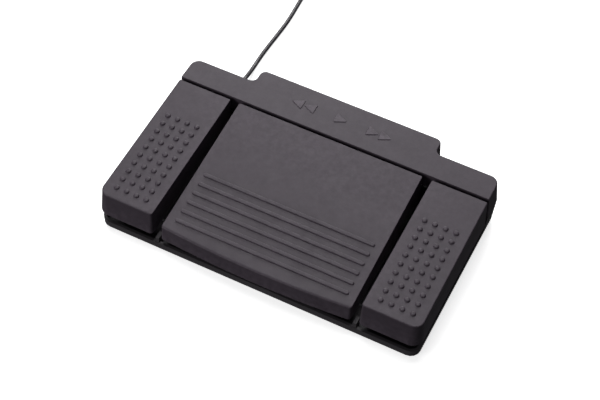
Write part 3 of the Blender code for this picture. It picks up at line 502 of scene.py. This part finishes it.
def loft(name, rings, material=None):
    shape = bmesh.new()
    skin(shape, rings)
    return from_bmesh(name, shape, material)


def lathe(shape, profile, place, segments):
    """Adds a turned body about +Z from (radius, height) points that start and end on the axis."""
    inner = [shape.verts.new(place @ Vector((0, 0, z))) for _, z in (profile[0], profile[-1])]
    rings = []
    for radius, z in profile[1:-1]:
        ring = []
        for i in range(segments):
            angle = math.tau * i / segments
            point = Vector((radius * math.cos(angle), radius * math.sin(angle), z))
            ring.append(shape.verts.new(place @ point))
        rings.append(ring)
    for low, high in zip(rings, rings[1:]):
        for i in range(segments):
            j = (i + 1) % segments
            shape.faces.new((low[i], low[j], high[j], high[i]))
    for centre, ring in zip(inner, (rings[0], rings[-1])):
        for i in range(segments):
            shape.faces.new((centre, ring[i], ring[(i + 1) % segments]))


def turned(name, profile, place, material, segments=40):
    shape = bmesh.new()
    lathe(shape, profile, place, segments)
    return from_bmesh(name, shape, material)


def core_of(node, block):
    """What a CAD node holds inside a block: its ribs, lugs and bosses."""
    shape = bmesh.new()
    shape.from_mesh(frame["nodes"][node].data)
    bmesh.ops.remove_doubles(shape, verts=shape.verts, dist=0.000002)
    mesh = bpy.data.meshes.new(f"{node}_core")
    shape.to_mesh(mesh)
    shape.free()
    core = new_object(f"{node}_core", mesh)
    join(core, block, "INTERSECT")
    return core


def round_over(corners, radius, softness, top, steps=6):
    """Rings that round an outline's top edge over, each side by its own share of the radius."""
    rings = []
    for step in range(steps + 1):
        angle = math.pi / 2 * step / steps
        inset = radius * (1 - math.cos(angle))
        drop = radius * (1 - math.sin(angle))
        height = (lambda y, d=drop: top(y) - d) if callable(top) else top - drop
        rings.append(ring_at(corners, [-inset * share for share in softness], height))
    return rings


# --- Pedals -----------------------------------------------------------------------------------


def pedal_top(front_top):
    """The height of a pedal's flat top at each y."""
    slope = (PEDAL_REAR_TOP - front_top) / PEDAL_LENGTH
    return lambda y: PEDAL_REAR_TOP - slope * (PEDAL_REAR - y)


def side_outline(side):
    """Corners of a side pedal, and how far each side leans out and is rounded at the top."""
    inner, outer = SIDE_INNER * side, HALF_WIDTH * side
    corners = [
        (inner, SHELL_REAR, 0.0010),
        (inner, PEDAL_FRONT, 0.0018),
        (outer, PEDAL_FRONT, CORNER_RADIUS),
        (outer, SHELL_REAR, 0.0010),
    ]
    lean = [INNER_DRAFT, DRAFT, DRAFT, 0.0]
    softness = [0.4, 1.0, 1.0, 0.3]
    if side < 0:
        corners.reverse()
        lean = [DRAFT, DRAFT, INNER_DRAFT, 0.0]
        softness = [1.0, 1.0, 0.4, 0.3]
    return corners, lean, softness


def centre_outline():
    """The same for the centre pedal, whose front bows out."""
    front_steps = 16
    corners = [(-CENTRE_HALF, SHELL_REAR, 0.0010), (-CENTRE_HALF, PEDAL_FRONT, 0.0020)]
    for i in range(1, front_steps):
        across = -1 + 2 * i / front_steps
        corners.append((CENTRE_HALF * across, PEDAL_FRONT - CENTRE_BOW * (1 - across**2), 0.0))
    corners += [(CENTRE_HALF, PEDAL_FRONT, 0.0020), (CENTRE_HALF, SHELL_REAR, 0.0010)]
    lean = [INNER_DRAFT] + [DRAFT] * front_steps + [INNER_DRAFT, 0.0]
    softness = [0.4] + [2.4] * front_steps + [0.4, 0.3]
    return corners, lean, softness


def bump_profile():
    """A dome of about 4.2 mm with a small fillet at its foot."""
    height = 0.00125
    radius = 0.00208
    points = [(0.0, -0.0006), (radius, -0.0006), (radius + 0.00012, -0.00001)]
    points += [(radius, 0.00008), (radius - 0.00003, 0.00030)]
    for step in range(1, 6):
        angle = math.pi / 2 * step / 6
        across = (radius - 0.00003) * math.cos(angle) ** 0.65
        points.append((across, 0.00030 + (height - 0.00030) * math.sin(angle)))
    return [*points, (0.0, height)]


def bumps(side):
    """The field of dots that a side pedal carries."""
    top = pedal_top(SIDE_FRONT_TOP)
    tilt = Matrix.Rotation(math.atan((PEDAL_REAR_TOP - SIDE_FRONT_TOP) / PEDAL_LENGTH), 4, "X")
    shape = bmesh.new()
    for row in range(BUMP_ROWS):
        y = PEDAL_REAR - BUMP_FIRST - row * BUMP_PITCH_Y
        for column in range(BUMP_COLUMNS):
            x = SIDE_MIDDLE * side + (column - (BUMP_COLUMNS - 1) / 2) * BUMP_PITCH_X
            lathe(shape, bump_profile(), Matrix.Translation((x, y, top(y))) @ tilt, 20)
    return from_bmesh("bumps", shape)


def ribs():
    """Long raised ribs with round ends, their edges rounded over."""
    top = pedal_top(CENTRE_FRONT_TOP)
    sections = (
        (0.00150, -0.0006),
        (0.00162, -0.00001),
        (0.00150, 0.00008),
        (0.00145, 0.00064),
        (0.00130, 0.00093),
        (0.00105, 0.00108),
        (0.00070, 0.00113),
    )
    shape = bmesh.new()
    straight = RIB_HALF_LENGTH - 0.0015
    for i in range(RIB_COUNT):
        y = PEDAL_REAR - RIB_FIRST - i * RIB_PITCH
        rings = []
        for half, lift in sections:
            ring = []
            for end in (1, -1):
                for step in range(13):
                    angle = math.pi * (step / 12 - 0.5) + (0 if end > 0 else math.pi)
                    px = end * straight + half * math.cos(angle)
                    py = y + half * math.sin(angle)
                    ring.append((px, py, top(py) + lift))
            rings.append(ring)
        skin(shape, rings)
    return from_bmesh("ribs", shape)


def pedal(word, outline, front_top, bottom, grip):
    """One pedal: a fine outer shell joined to the CAD solid's own ribs, lugs and bosses."""
    corners, lean, softness = outline
    count = len(corners)
    top = pedal_top(front_top)
    depth = front_top - bottom
    skirt = [amount * depth for amount in lean]
    thin = 0.9 * WALL
    lip = 0.00035

    rings = [
        ring_at(corners, [-thin] * count, lambda y: top(y) - thin),
        ring_at(corners, [a - thin for a in skirt], bottom + lip),
        ring_at(corners, [a - thin + lip for a in skirt], bottom),
        ring_at(corners, [a - lip for a in skirt], bottom),
        ring_at(corners, [a - 0.3 * lip for a in skirt], bottom + 0.3 * lip),
        ring_at(corners, skirt, bottom + lip),
        *round_over(corners, EDGE, softness, top),
    ]
    name = f"{word}_pedal_shell"
    shell = loft(name, rings, CASE)
    low_x = min(corner[0] for corner in corners) + WALL
    high_x = max(corner[0] for corner in corners) - WALL
    opening = box(
        "opening",
        (low_x, PEDAL_REAR - 2 * WALL, bottom - 0.002),
        (high_x, PEDAL_REAR + WALL, PIVOT.z + 0.007),
    )
    join(shell, opening, "DIFFERENCE")
    join(shell, grip, "UNION")

    half = 0.5 * WALL
    block = loft(
        "block",
        [
            ring_at(corners, [a - half for a in skirt], bottom + 0.0004, 4),
            ring_at(corners, [-half] * count, lambda y: top(y) - half, 4),
        ],
    )
    lugs = box(
        "lugs",
        (low_x - half, PEDAL_REAR - half - 0.0002, 0.005),
        (high_x + half, PEDAL_REAR + 0.02, 0.0305),
    )
    join(block, lugs, "UNION")
    below = box(
        "below",
        (low_x, PEDAL_FRONT + 2 * WALL, 0.005),
        (high_x, PEDAL_REAR - half, bottom + 0.0006),
    )
    join(block, below, "UNION")
    join(shell, core_of(f"{word}_pedal", block), "UNION")
    return settle(shell, f"{word}_pedal_body", [f"{word}_pedal"])


# --- Cover ------------------------------------------------------------------------------------


def cover_corners(rear):
    """The cover's outline with its tab, given the radius of its two rear corners."""
    return [
        (-HALF_WIDTH, COVER_EDGE, 0.0006),
        (HALF_WIDTH, COVER_EDGE, 0.0006),
        (HALF_WIDTH, COVER_REAR, rear),
        (TAB_HALF, COVER_REAR, TAB_RADIUS),
        (TAB_HALF, TAB_REAR, TAB_RADIUS),
        (-TAB_HALF, TAB_REAR, TAB_RADIUS),
        (-TAB_HALF, COVER_REAR, TAB_RADIUS),
        (-HALF_WIDTH, COVER_REAR, rear),
    ]


def emblem():
    """A generic row of raised arrowheads with rounded corners and edges."""
    half = 0.0047
    middle = (COVER_FRONT + TAB_REAR) / 2
    sections = ((0.0002, -0.0006), (0.0002, 0.0), (0.0, 0.12), (-0.00006, 0.7), (-0.00022, 1.0))
    shape = bmesh.new()
    for x, way in ((-0.036, -1), (-0.026, -1), (0.0, 1), (0.026, 1), (0.036, 1)):
        corners = [
            (x - way * half, middle - half, 0.0006),
            (x + way * half, middle, 0.0006),
            (x - way * half, middle + half, 0.0006),
        ]
        if way < 0:
            corners.reverse()
        rings = []
        for spread, share in sections:
            height = COVER_TOP + (share * (EMBLEM_HEIGHT - 0.00002) if share > 0 else share)
            rings.append(ring_at(corners, [spread] * 3, height, 4))
        skin(shape, rings)
    return from_bmesh("emblem", shape)


def cover():
    """The cover: a fine outer shell with the emblem, joined to the CAD solid's own bosses."""
    corners = cover_corners(CORNER_RADIUS)
    low_corners = cover_corners(LOW_REAR_RADIUS)
    count = len(corners)
    lean = [0.0] + [DRAFT] * (count - 1)
    softness = [0.3] + [1.0] * (count - 1)
    foot = [a * (COVER_TOP - COVER_BOTTOM) for a in lean]
    thin = 0.9 * WALL
    lip = 0.0003
    rings = [
        ring_at(corners, [-thin] * count, COVER_TOP - thin),
        ring_at(low_corners, [a - thin for a in foot], COVER_BOTTOM),
        ring_at(low_corners, [a - lip for a in foot], COVER_BOTTOM),
        ring_at(low_corners, [a - 0.3 * lip for a in foot], COVER_BOTTOM + 0.3 * lip),
        ring_at(low_corners, foot, COVER_BOTTOM + lip),
        *round_over(corners, EDGE, softness, COVER_TOP),
    ]
    shell = loft("rear_cover_shell", rings, CASE)
    inside = HALF_WIDTH - WALL
    opening = box(
        "opening",
        (-inside, COVER_EDGE - WALL, COVER_BOTTOM - 0.004),
        (inside, COVER_FRONT + 1.5 * WALL, COVER_SKIRT),
    )
    join(shell, opening, "DIFFERENCE")
    join(shell, emblem(), "UNION")

    half = 0.5 * WALL
    low_z = COVER_BOTTOM + 0.0004
    block = loft(
        "block",
        [
            ring_at(low_corners, [a - half for a in foot], low_z, 4),
            ring_at(corners, [-half] * count, COVER_TOP - half, 4),
        ],
    )
    bosses = box(
        "bosses",
        (-inside + WALL, COVER_FRONT + WALL, 0.012),
        (inside - WALL, COVER_REAR - WALL, low_z + 0.001),
    )
    join(block, bosses, "UNION")
    tab_bosses = box(
        "tab_bosses",
        (-TAB_HALF + 2 * WALL, COVER_REAR - 2 * WALL, 0.012),
        (TAB_HALF - 2 * WALL, TAB_REAR - WALL, low_z + 0.001),
    )
    join(block, tab_bosses, "UNION")
    join(shell, core_of("rear_cover", block), "UNION")
    return settle(shell, "base", ["rear_cover"])


# --- Small pieces -----------------------------------------------------------------------------


def springs():
    """Return springs with closed end turns."""
    wire = 0.0005
    turns = 6
    per_turn = 28
    rows = {
        "left": "left_pedal_hinge",
        "centre_left": "centre_pedal_hinge",
        "centre_right": "centre_pedal_hinge",
        "right": "right_pedal_hinge",
    }
    for word, joint in rows.items():
        low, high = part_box(f"{word}_spring")
        middle = (low + high) / 2
        radius = (high.y - low.y) / 2 - wire
        curve = bpy.data.curves.new(f"{word}_spring_wire", "CURVE")
        curve.dimensions = "3D"
        curve.bevel_depth = wire
        curve.bevel_resolution = 3
        curve.use_fill_caps = True
        line = curve.splines.new("POLY")
        count = turns * per_turn
        line.points.add(count)
        for i in range(count + 1):
            share = i / count
            rise = min(max((share - 1 / turns) / (1 - 2 / turns), 0.0), 1.0)
            close = (share - rise) * turns * 2.0 * wire
            height = low.z + wire + (high.z - low.z - 4 * wire) * rise + close
            angle = math.tau * i / per_turn
            line.points[i].co = (
                middle.x + radius * math.cos(angle),
                middle.y + radius * math.sin(angle),
                height + wire * 0.02,
                1.0,
            )
        wound = bpy.data.objects.new("wound", curve)
        bpy.context.scene.collection.objects.link(wound)
        bpy.context.view_layer.update()
        graph = bpy.context.evaluated_depsgraph_get()
        mesh = bpy.data.meshes.new_from_object(wound.evaluated_get(graph))
        bpy.data.objects.remove(wound)
        piece = new_object(f"{word}_return_spring", mesh, SPRING_STEEL)
        settle(piece, "base", [f"{word}_spring"], 60)
        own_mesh(piece)


def screw_head(name, node, upward):
    """A pan-head screw with a cross recess, facing up or down."""
    low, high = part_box(node)
    middle = (low + high) / 2
    radius = (high.x - low.x) / 2
    length = high.z - low.z
    head = 0.0017
    shank = 0.0015
    crown = [(0.0, 0.0)]
    for step in range(1, 7):
        angle = math.pi / 2 * step / 6
        crown.append((radius * math.sin(angle), 0.0007 * (1 - math.cos(angle))))
    profile = [*crown, (radius, head), (shank, head)]
    pitch = 0.0008
    threads = int((length - head - 0.0015) / pitch)
    for i in range(threads):
        z = head + 0.0004 + i * pitch
        profile += [(shank * 0.8, z), (shank, z + pitch * 0.4), (shank * 0.8, z + pitch * 0.8)]
    profile += [(shank * 0.7, length - 0.0009), (shank * 0.12, length - 0.0001), (0.0, length)]
    if upward:
        place = Matrix.Translation((middle.x, middle.y, high.z)) @ Matrix.Rotation(math.pi, 4, "X")
    else:
        place = Matrix.Translation((middle.x, middle.y, low.z))
    piece = turned(name, profile, place, SCREW_STEEL, 24)
    arm, slit, deep = radius * 0.55, radius * 0.13, 0.0009
    for first, second in ((arm, slit), (slit, arm)):
        side = high.z if upward else low.z
        recess = box(
            "recess",
            (middle.x - first, middle.y - second, side - deep),
            (middle.x + first, middle.y + second, side + deep),
        )
        join(piece, recess, "DIFFERENCE")
    return settle(piece, "base", [node])


def screws():
    """Four cover screws that are driven from below, and the screws of the plate and the board."""
    for i in range(1, 5):
        screw_head(f"cover_screw_{i}_steel", f"cover_screw_{i}", False)
    for i in (1, 2):
        screw_head(f"plate_screw_{i}_steel", f"plate_screw_{i}", True)
        screw_head(f"board_screw_{i}_steel", f"board_screw_{i}", True)


def feet():
    """Rubber feet with a rounded rim and a dished middle ring."""
    for word in ("front_left", "front_right", "rear_left", "rear_right"):
        low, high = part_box(f"{word}_foot")
        middle = (low + high) / 2
        radius = (high.x - low.x) / 2
        top = high.z
        profile = [(0.0, top), (radius, top), (radius, 0.0009)]
        for step in range(1, 6):
            angle = math.pi / 2 * step / 5
            profile.append((radius - 0.0009 * (1 - math.cos(angle)), 0.0009 * (1 - math.sin(angle))))
        profile += [(radius * 0.55, 0.0), (radius * 0.5, 0.0004), (0.0, 0.0004)]
        place = Matrix.Translation((middle.x, middle.y, 0))
        piece = turned(f"{word}_foot_rubber", profile, place, RUBBER, 48)
        settle(piece, "base", [f"{word}_foot"])


def hinge_rod():
    """The ground rod, its ends chamfered."""
    low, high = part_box("hinge_rod")
    radius = (high.z - low.z) / 2
    length = high.x - low.x
    profile = [
        (0.0, 0.0),
        (radius - 0.0005, 0.0),
        (radius - 0.00002, 0.0005),
        (radius - 0.00002, length - 0.0005),
        (radius - 0.0005, length),
        (0.0, length),
    ]
    place = Matrix.Translation((low.x, PIVOT.y, PIVOT.z)) @ Matrix.Rotation(math.pi / 2, 4, "Y")
    piece = turned("hinge_rod_steel", profile, place, ROD_STEEL)
    settle(piece, "base", ["hinge_rod"])


def strain_relief():
    """Rubber sleeve with a flange and flexing grooves towards its tip."""
    tip = RELIEF_HIGH.y - COVER_REAR
    flange = tip - 0.0133
    profile = [(0.0, RELIEF_LOW.y - COVER_REAR), (0.0048, RELIEF_LOW.y - COVER_REAR)]
    profile += [(0.0048, -0.0027), (0.0032, -0.0027), (0.0032, flange), (0.0049, flange)]
    profile += [(0.0052, flange + 0.0003), (0.0052, flange + 0.0011), (0.0049, flange + 0.0014)]
    profile.append((0.0036, flange + 0.0014))
    start, grooves = flange + 0.0024, 5
    pitch = (tip - start - 0.0016) / grooves
    for i in range(grooves):
        base = start + i * pitch
        outer = 0.0034 - 0.0011 * (base - flange) / (tip - flange)
        profile += [(outer, base), (outer, base + pitch * 0.5)]
        profile += [(outer - 0.0005, base + pitch * 0.58), (outer - 0.0005, base + pitch * 0.92)]
    profile += [(0.0023, tip - 0.0012), (0.0023, tip - 0.0003), (0.0020, tip), (0.0, tip)]
    place = Matrix.Translation((CORD_ROUTE[0][0], COVER_REAR, CORD_ROUTE[0][2]))
    place = place @ Matrix.Rotation(-math.pi / 2, 4, "X")
    piece = turned("strain_relief_sleeve", profile, place, RUBBER)
    settle(piece, "base", ["strain_relief"])


# --- Cord -------------------------------------------------------------------------------------

COIL_X = (COIL_LOW.x + COIL_HIGH.x) / 2
COIL_Y = (COIL_LOW.y + COIL_HIGH.y) / 2
TURN_OUTER = (COIL_HIGH.x - COIL_LOW.x) / 2 - CORD_RADIUS
PITCH = 2 * CORD_RADIUS
LAYERS = 4
STEP_DEGREES = 40  # how far round the coil each step to the next turn or layer takes
LEAVE_DEGREES = 20  # where the cord leaves its last turn for the plug
FIRST_LAYER = COIL_LOW.z + CORD_RADIUS
PLUG_X = (PLUG_LOW.x + PLUG_HIGH.x) / 2
PLUG_Z = (PLUG_LOW.z + PLUG_HIGH.z) / 2


def ease(amount):
    amount = min(max(amount, 0.0), 1.0)
    return amount * amount * (3 - 2 * amount)


def coil_moves():
    """When the winding steps to the next turn or layer: (start degrees, turn change, layer change).

    All steps from turn to turn of a layer lie in one sector, and each layer's sector lies before
    the place where the layer below it climbs, so that no turn runs through another.
    """
    moves = []
    angle, sector, inward = 0, 300, -1
    for layer in range(LAYERS):
        for _ in range(LAYERS - 1):
            start = angle + (sector - angle) % 360
            moves.append((start, inward, 0))
            angle = start + STEP_DEGREES
        if layer < LAYERS - 1:
            start = angle + (sector - STEP_DEGREES - angle) % 360
            moves.append((start, 0, 1))
            angle = start + STEP_DEGREES
        sector, inward = sector - 2 * STEP_DEGREES, -inward
    return moves, angle + (LEAVE_DEGREES - angle) % 360


def coil_points():
    """Centreline of the wound cord, from where it meets the coil to where it leaves the last turn."""
    moves, last = coil_moves()
    points = []
    for degrees in range(0, last, 10):
        turn = sum(way * ease((degrees - start) / STEP_DEGREES) for start, way, _ in moves)
        layer = sum(up * ease((degrees - start) / STEP_DEGREES) for start, _, up in moves)
        radius = TURN_OUTER + turn * PITCH
        angle = math.radians(degrees)
        points.append(
            (
                COIL_X + radius * math.cos(angle),
                COIL_Y + radius * math.sin(angle),
                FIRST_LAYER + layer * PITCH,
            )
        )
    return points


def lead_points():
    """Centreline where the cord drops from the coil's top turn to its plug."""
    start, drop = math.radians(LEAVE_DEGREES), math.radians(62)
    top = FIRST_LAYER + (LAYERS - 1) * PITCH
    points = []
    for degrees in range(LEAVE_DEGREES, 181, 10):
        angle = math.radians(degrees)
        radius = TURN_OUTER + (COIL_X - PLUG_X - TURN_OUTER) * ease((angle - start) / (math.pi - start))
        fall = ease((angle - drop) / (math.pi - drop))
        points.append(
            (
                COIL_X + radius * math.cos(angle),
                COIL_Y + radius * math.sin(angle),
                top + (PLUG_Z - top) * fall,
            )
        )
    return [*points, (PLUG_X, PLUG_HIGH.y + GAP, PLUG_Z)]


def smooth_line(route, spacing):
    """Points about a spacing apart on a Catmull-Rom curve through the route's own points."""
    route = [Vector(point) for point in route]
    ends = [2 * route[0] - route[1], *route, 2 * route[-1] - route[-2]]
    points = [route[0]]
    for a, b, c, d in zip(ends, ends[1:], ends[2:], ends[3:]):
        steps = max(1, round((c - b).length / spacing))
        for step in range(1, steps + 1):
            t = step / steps
            points.append(
                0.5
                * (
                    2 * b
                    + (c - a) * t
                    + (2 * a - 5 * b + 4 * c - d) * t * t
                    + (3 * b - a - 3 * c + d) * t * t * t
                )
            )
    return points


def plug():
    """The moulded plug with grip grooves, and its contact with insulating rings."""
    length = PLUG_HIGH.y - PLUG_LOW.y
    boot, radius = 0.0120, 0.0040
    profile = [(0.0, 0.0), (0.0020, 0.0), (0.0022, 0.0003)]
    grooves = 4
    for i in range(grooves):
        base = 0.0014 + i * 0.0024
        outer = 0.0022 + 0.0008 * base / boot
        profile += [(outer, base), (outer - 0.00045, base + 0.0002)]
        profile += [(outer - 0.00045, base + 0.0010), (outer + 0.0001, base + 0.0012)]
    profile += [(0.0030, boot - 0.0005), (radius - 0.0010, boot), (radius - 0.0002, boot + 0.0004)]
    profile.append((radius, boot + 0.0012))
    for i in range(5):
        base = boot + 0.0045 + i * 0.0018
        profile += [(radius, base), (radius - 0.0004, base + 0.0003)]
        profile += [(radius - 0.0004, base + 0.0007), (radius, base + 0.0010)]
    profile += [(radius, length - 0.0010), (radius - 0.0003, length - 0.0002)]
    profile += [(radius - 0.0010, length), (0.0, length)]
    facing = Matrix.Rotation(math.pi / 2, 4, "X")
    place = Matrix.Translation((PLUG_X, PLUG_HIGH.y, PLUG_Z)) @ facing
    body = settle(turned("plug_moulding", profile, place, RUBBER), "base", ["plug_body"])

    low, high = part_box("plug_contact")
    reach = high.y - low.y
    pin = 0.00175
    profile = [(0.0, 0.0), (pin + 0.0010, 0.0), (pin + 0.0010, 0.0009), (pin, 0.0010)]
    profile += [(pin, reach - from_tip) for from_tip in (0.0084, 0.0078, 0.0051, 0.0045)]
    profile += [(pin * 0.9, reach - 0.0042), (pin * 0.64, reach - 0.0036)]
    profile += [(pin * 0.66, reach - 0.0032), (pin * 0.97, reach - 0.0020), (pin * 0.9, reach - 0.0016)]
    profile += [(pin * 0.35, reach - 0.0001), (0.0, reach)]
    place = Matrix.Translation((PLUG_X, high.y, PLUG_Z)) @ facing
    contact = turned("plug_pin", profile, place, GOLD, 32)
    contact.data.materials.append(BAND)
    for face in contact.data.polygons:
        from_tip = face.center.y - low.y
        if 0.0045 < from_tip < 0.0051 or 0.0078 < from_tip < 0.0084:
            face.material_index = 1
    settle(contact, "base", ["plug_contact"])
    return body, contact


def tie():
    """A strap with rounded edges round the coil's bundle."""
    node_low, node_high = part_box("cord_tie")
    angle = math.radians(225)
    place = Matrix.Translation((COIL_X, COIL_Y, 0)) @ Matrix.Rotation(angle, 4, "Z")
    inner_x = TURN_OUTER + CORD_RADIUS - LAYERS * PITCH - 0.0010
    outer_x = TURN_OUTER + CORD_RADIUS + 0.0005
    low_z, high_z = node_low.z + 0.00054, node_high.z - 0.0006
    thick, width, bend = 0.00054, 0.0050, 0.0012

    def loop(grow):
        corners = [
            (inner_x, low_z, bend),
            (outer_x, low_z, bend),
            (outer_x, high_z, bend),
            (inner_x, high_z, bend),
        ]
        return rounded(grown(corners, [grow] * 4), 6)

    shape = bmesh.new()
    half = width / 2
    sections = [(0.0, -half + 0.0002), (0.0, half - 0.0002), (thick * 0.3, half), (thick * 0.7, half)]
    sections += [(thick, half - 0.0002), (thick, -half + 0.0002), (thick * 0.7, -half), (thick * 0.3, -half)]
    rings = []
    for grow, across in sections:
        rings.append([shape.verts.new(place @ Vector((p.x, across, p.y))) for p in loop(grow)])
    for ring, after in zip(rings, [*rings[1:], rings[0]]):
        for i in range(len(ring)):
            j = (i + 1) % len(ring)
            shape.faces.new((ring[i], ring[j], after[j], after[i]))
    strap = from_bmesh("cord_strap", shape, TIE)
    return settle(strap, "base", ["cord_tie"])


def cord():
    """The whole cord on one curve: strain relief, floor, coil and down to the plug."""
    route = [*CORD_ROUTE, *coil_points(), *lead_points()]
    fine = smooth_line(route, 0.0035)
    curve = bpy.data.curves.new("cord_jacket", "CURVE")
    curve.dimensions = "3D"
    curve.bevel_depth = CORD_RADIUS
    curve.bevel_resolution = 4
    curve.use_fill_caps = True
    line = curve.splines.new("POLY")
    line.points.add(len(fine) - 1)
    for slot, point in zip(line.points, fine):
        slot.co = (*point, 1.0)
    curve.materials.append(JACKET)
    piece = bpy.data.objects.new("cord_jacket", curve)
    bpy.context.scene.collection.objects.link(piece)
    length = sum((b - a).length for a, b in zip(fine, fine[1:]))
    print(f"cord length {length:.4f} m")
    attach(piece, "base")
    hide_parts("cord_lead", "cord_coil", "cord_plug_lead")
    body, contact = plug()
    strap = tie()


# --- Stage ------------------------------------------------------------------------------------


def area_light(name, place, aim, size, power, colour=(1.0, 1.0, 1.0)):
    light = bpy.data.lights.new(name, "AREA")
    light.shape = "RECTANGLE"
    light.size, light.size_y = size
    light.energy = power
    light.color = colour
    made = bpy.data.objects.new(name, light)
    made.location = place
    made.rotation_euler = (Vector(aim) - Vector(place)).to_track_quat("-Z", "Y").to_euler()
    bpy.context.scene.collection.objects.link(made)


def stage():
    """A pale floor and three softboxes.

    The photo is cut out to white. So the floor gives off some light of its own, and it is hidden
    from bounces and reflections, which leaves the object's sides as dark as they are there.
    """
    bpy.ops.mesh.primitive_plane_add(size=8.0, location=(0, 0, 0))
    floor = bpy.context.object
    floor.name = "studio_floor"
    made = Surface("studio_floor", (0.88, 0.88, 0.88), 0.85)
    tone = made.ramp(made.noise(0.6, 2.0), 0.0, 1.0)
    made.colour(made.mix(tone, (0.875, 0.875, 0.878), (0.89, 0.89, 0.892)))
    made.shader.inputs["Emission Color"].default_value = (1.0, 1.0, 1.0, 1.0)
    made.shader.inputs["Emission Strength"].default_value = 0.72
    floor.data.materials.append(made.material)
    floor.visible_diffuse = False
    floor.visible_glossy = False

    world = bpy.data.worlds.new("studio")
    world.use_nodes = True
    world.node_tree.nodes["Background"].inputs["Color"].default_value = (0.97, 0.96, 1.0, 1.0)
    world.node_tree.nodes["Background"].inputs["Strength"].default_value = 0.08
    bpy.context.scene.world = world
    area_light("rear_softbox", (-0.45, 1.15, 0.68), (0, 0.02, 0.03), (0.9, 0.5), 14)
    area_light("top_softbox", (-0.4, 0.45, 2.1), (0, 0, 0), (1.2, 1.2), 30)
    area_light("left_softbox", (-0.9, -1.25, 0.42), (0, 0, 0.02), (0.8, 0.5), 11.5)
    bpy.context.scene.view_settings.view_transform = "Standard"


# --- Assembly ---------------------------------------------------------------------------------

KEPT_NODES = {
    "base_tray": TRAY,
    "ballast_plate": PLATE_PAINT,
    "left_stop_pad": RUBBER,
    "centre_left_stop_pad": RUBBER,
    "centre_right_stop_pad": RUBBER,
    "right_stop_pad": RUBBER,
    "circuit_board": BOARD,
    "left_switch": SWITCH,
    "centre_switch": SWITCH,
    "right_switch": SWITCH,
    "left_plunger": BUTTON,
    "centre_plunger": BUTTON,
    "right_plunger": BUTTON,
    "cord_header": HEADER,
    "inner_lead": JACKET,
}


def dress_kept_nodes():
    """Gives each CAD node that stays visible its finished material."""
    for node, material in KEPT_NODES.items():
        slots = frame["nodes"][node].material_slots
        for slot in slots:
            slot.material = material


add_camera()
cord()
strain_relief()
pedal("left", side_outline(-1), SIDE_FRONT_TOP, SIDE_SKIRT, bumps(-1))
pedal("right", side_outline(1), SIDE_FRONT_TOP, SIDE_SKIRT, bumps(1))
pedal("centre", centre_outline(), CENTRE_FRONT_TOP, CENTRE_SKIRT, ribs())
cover()
springs()
screws()
feet()
hinge_rod()
dress_kept_nodes()
stage()
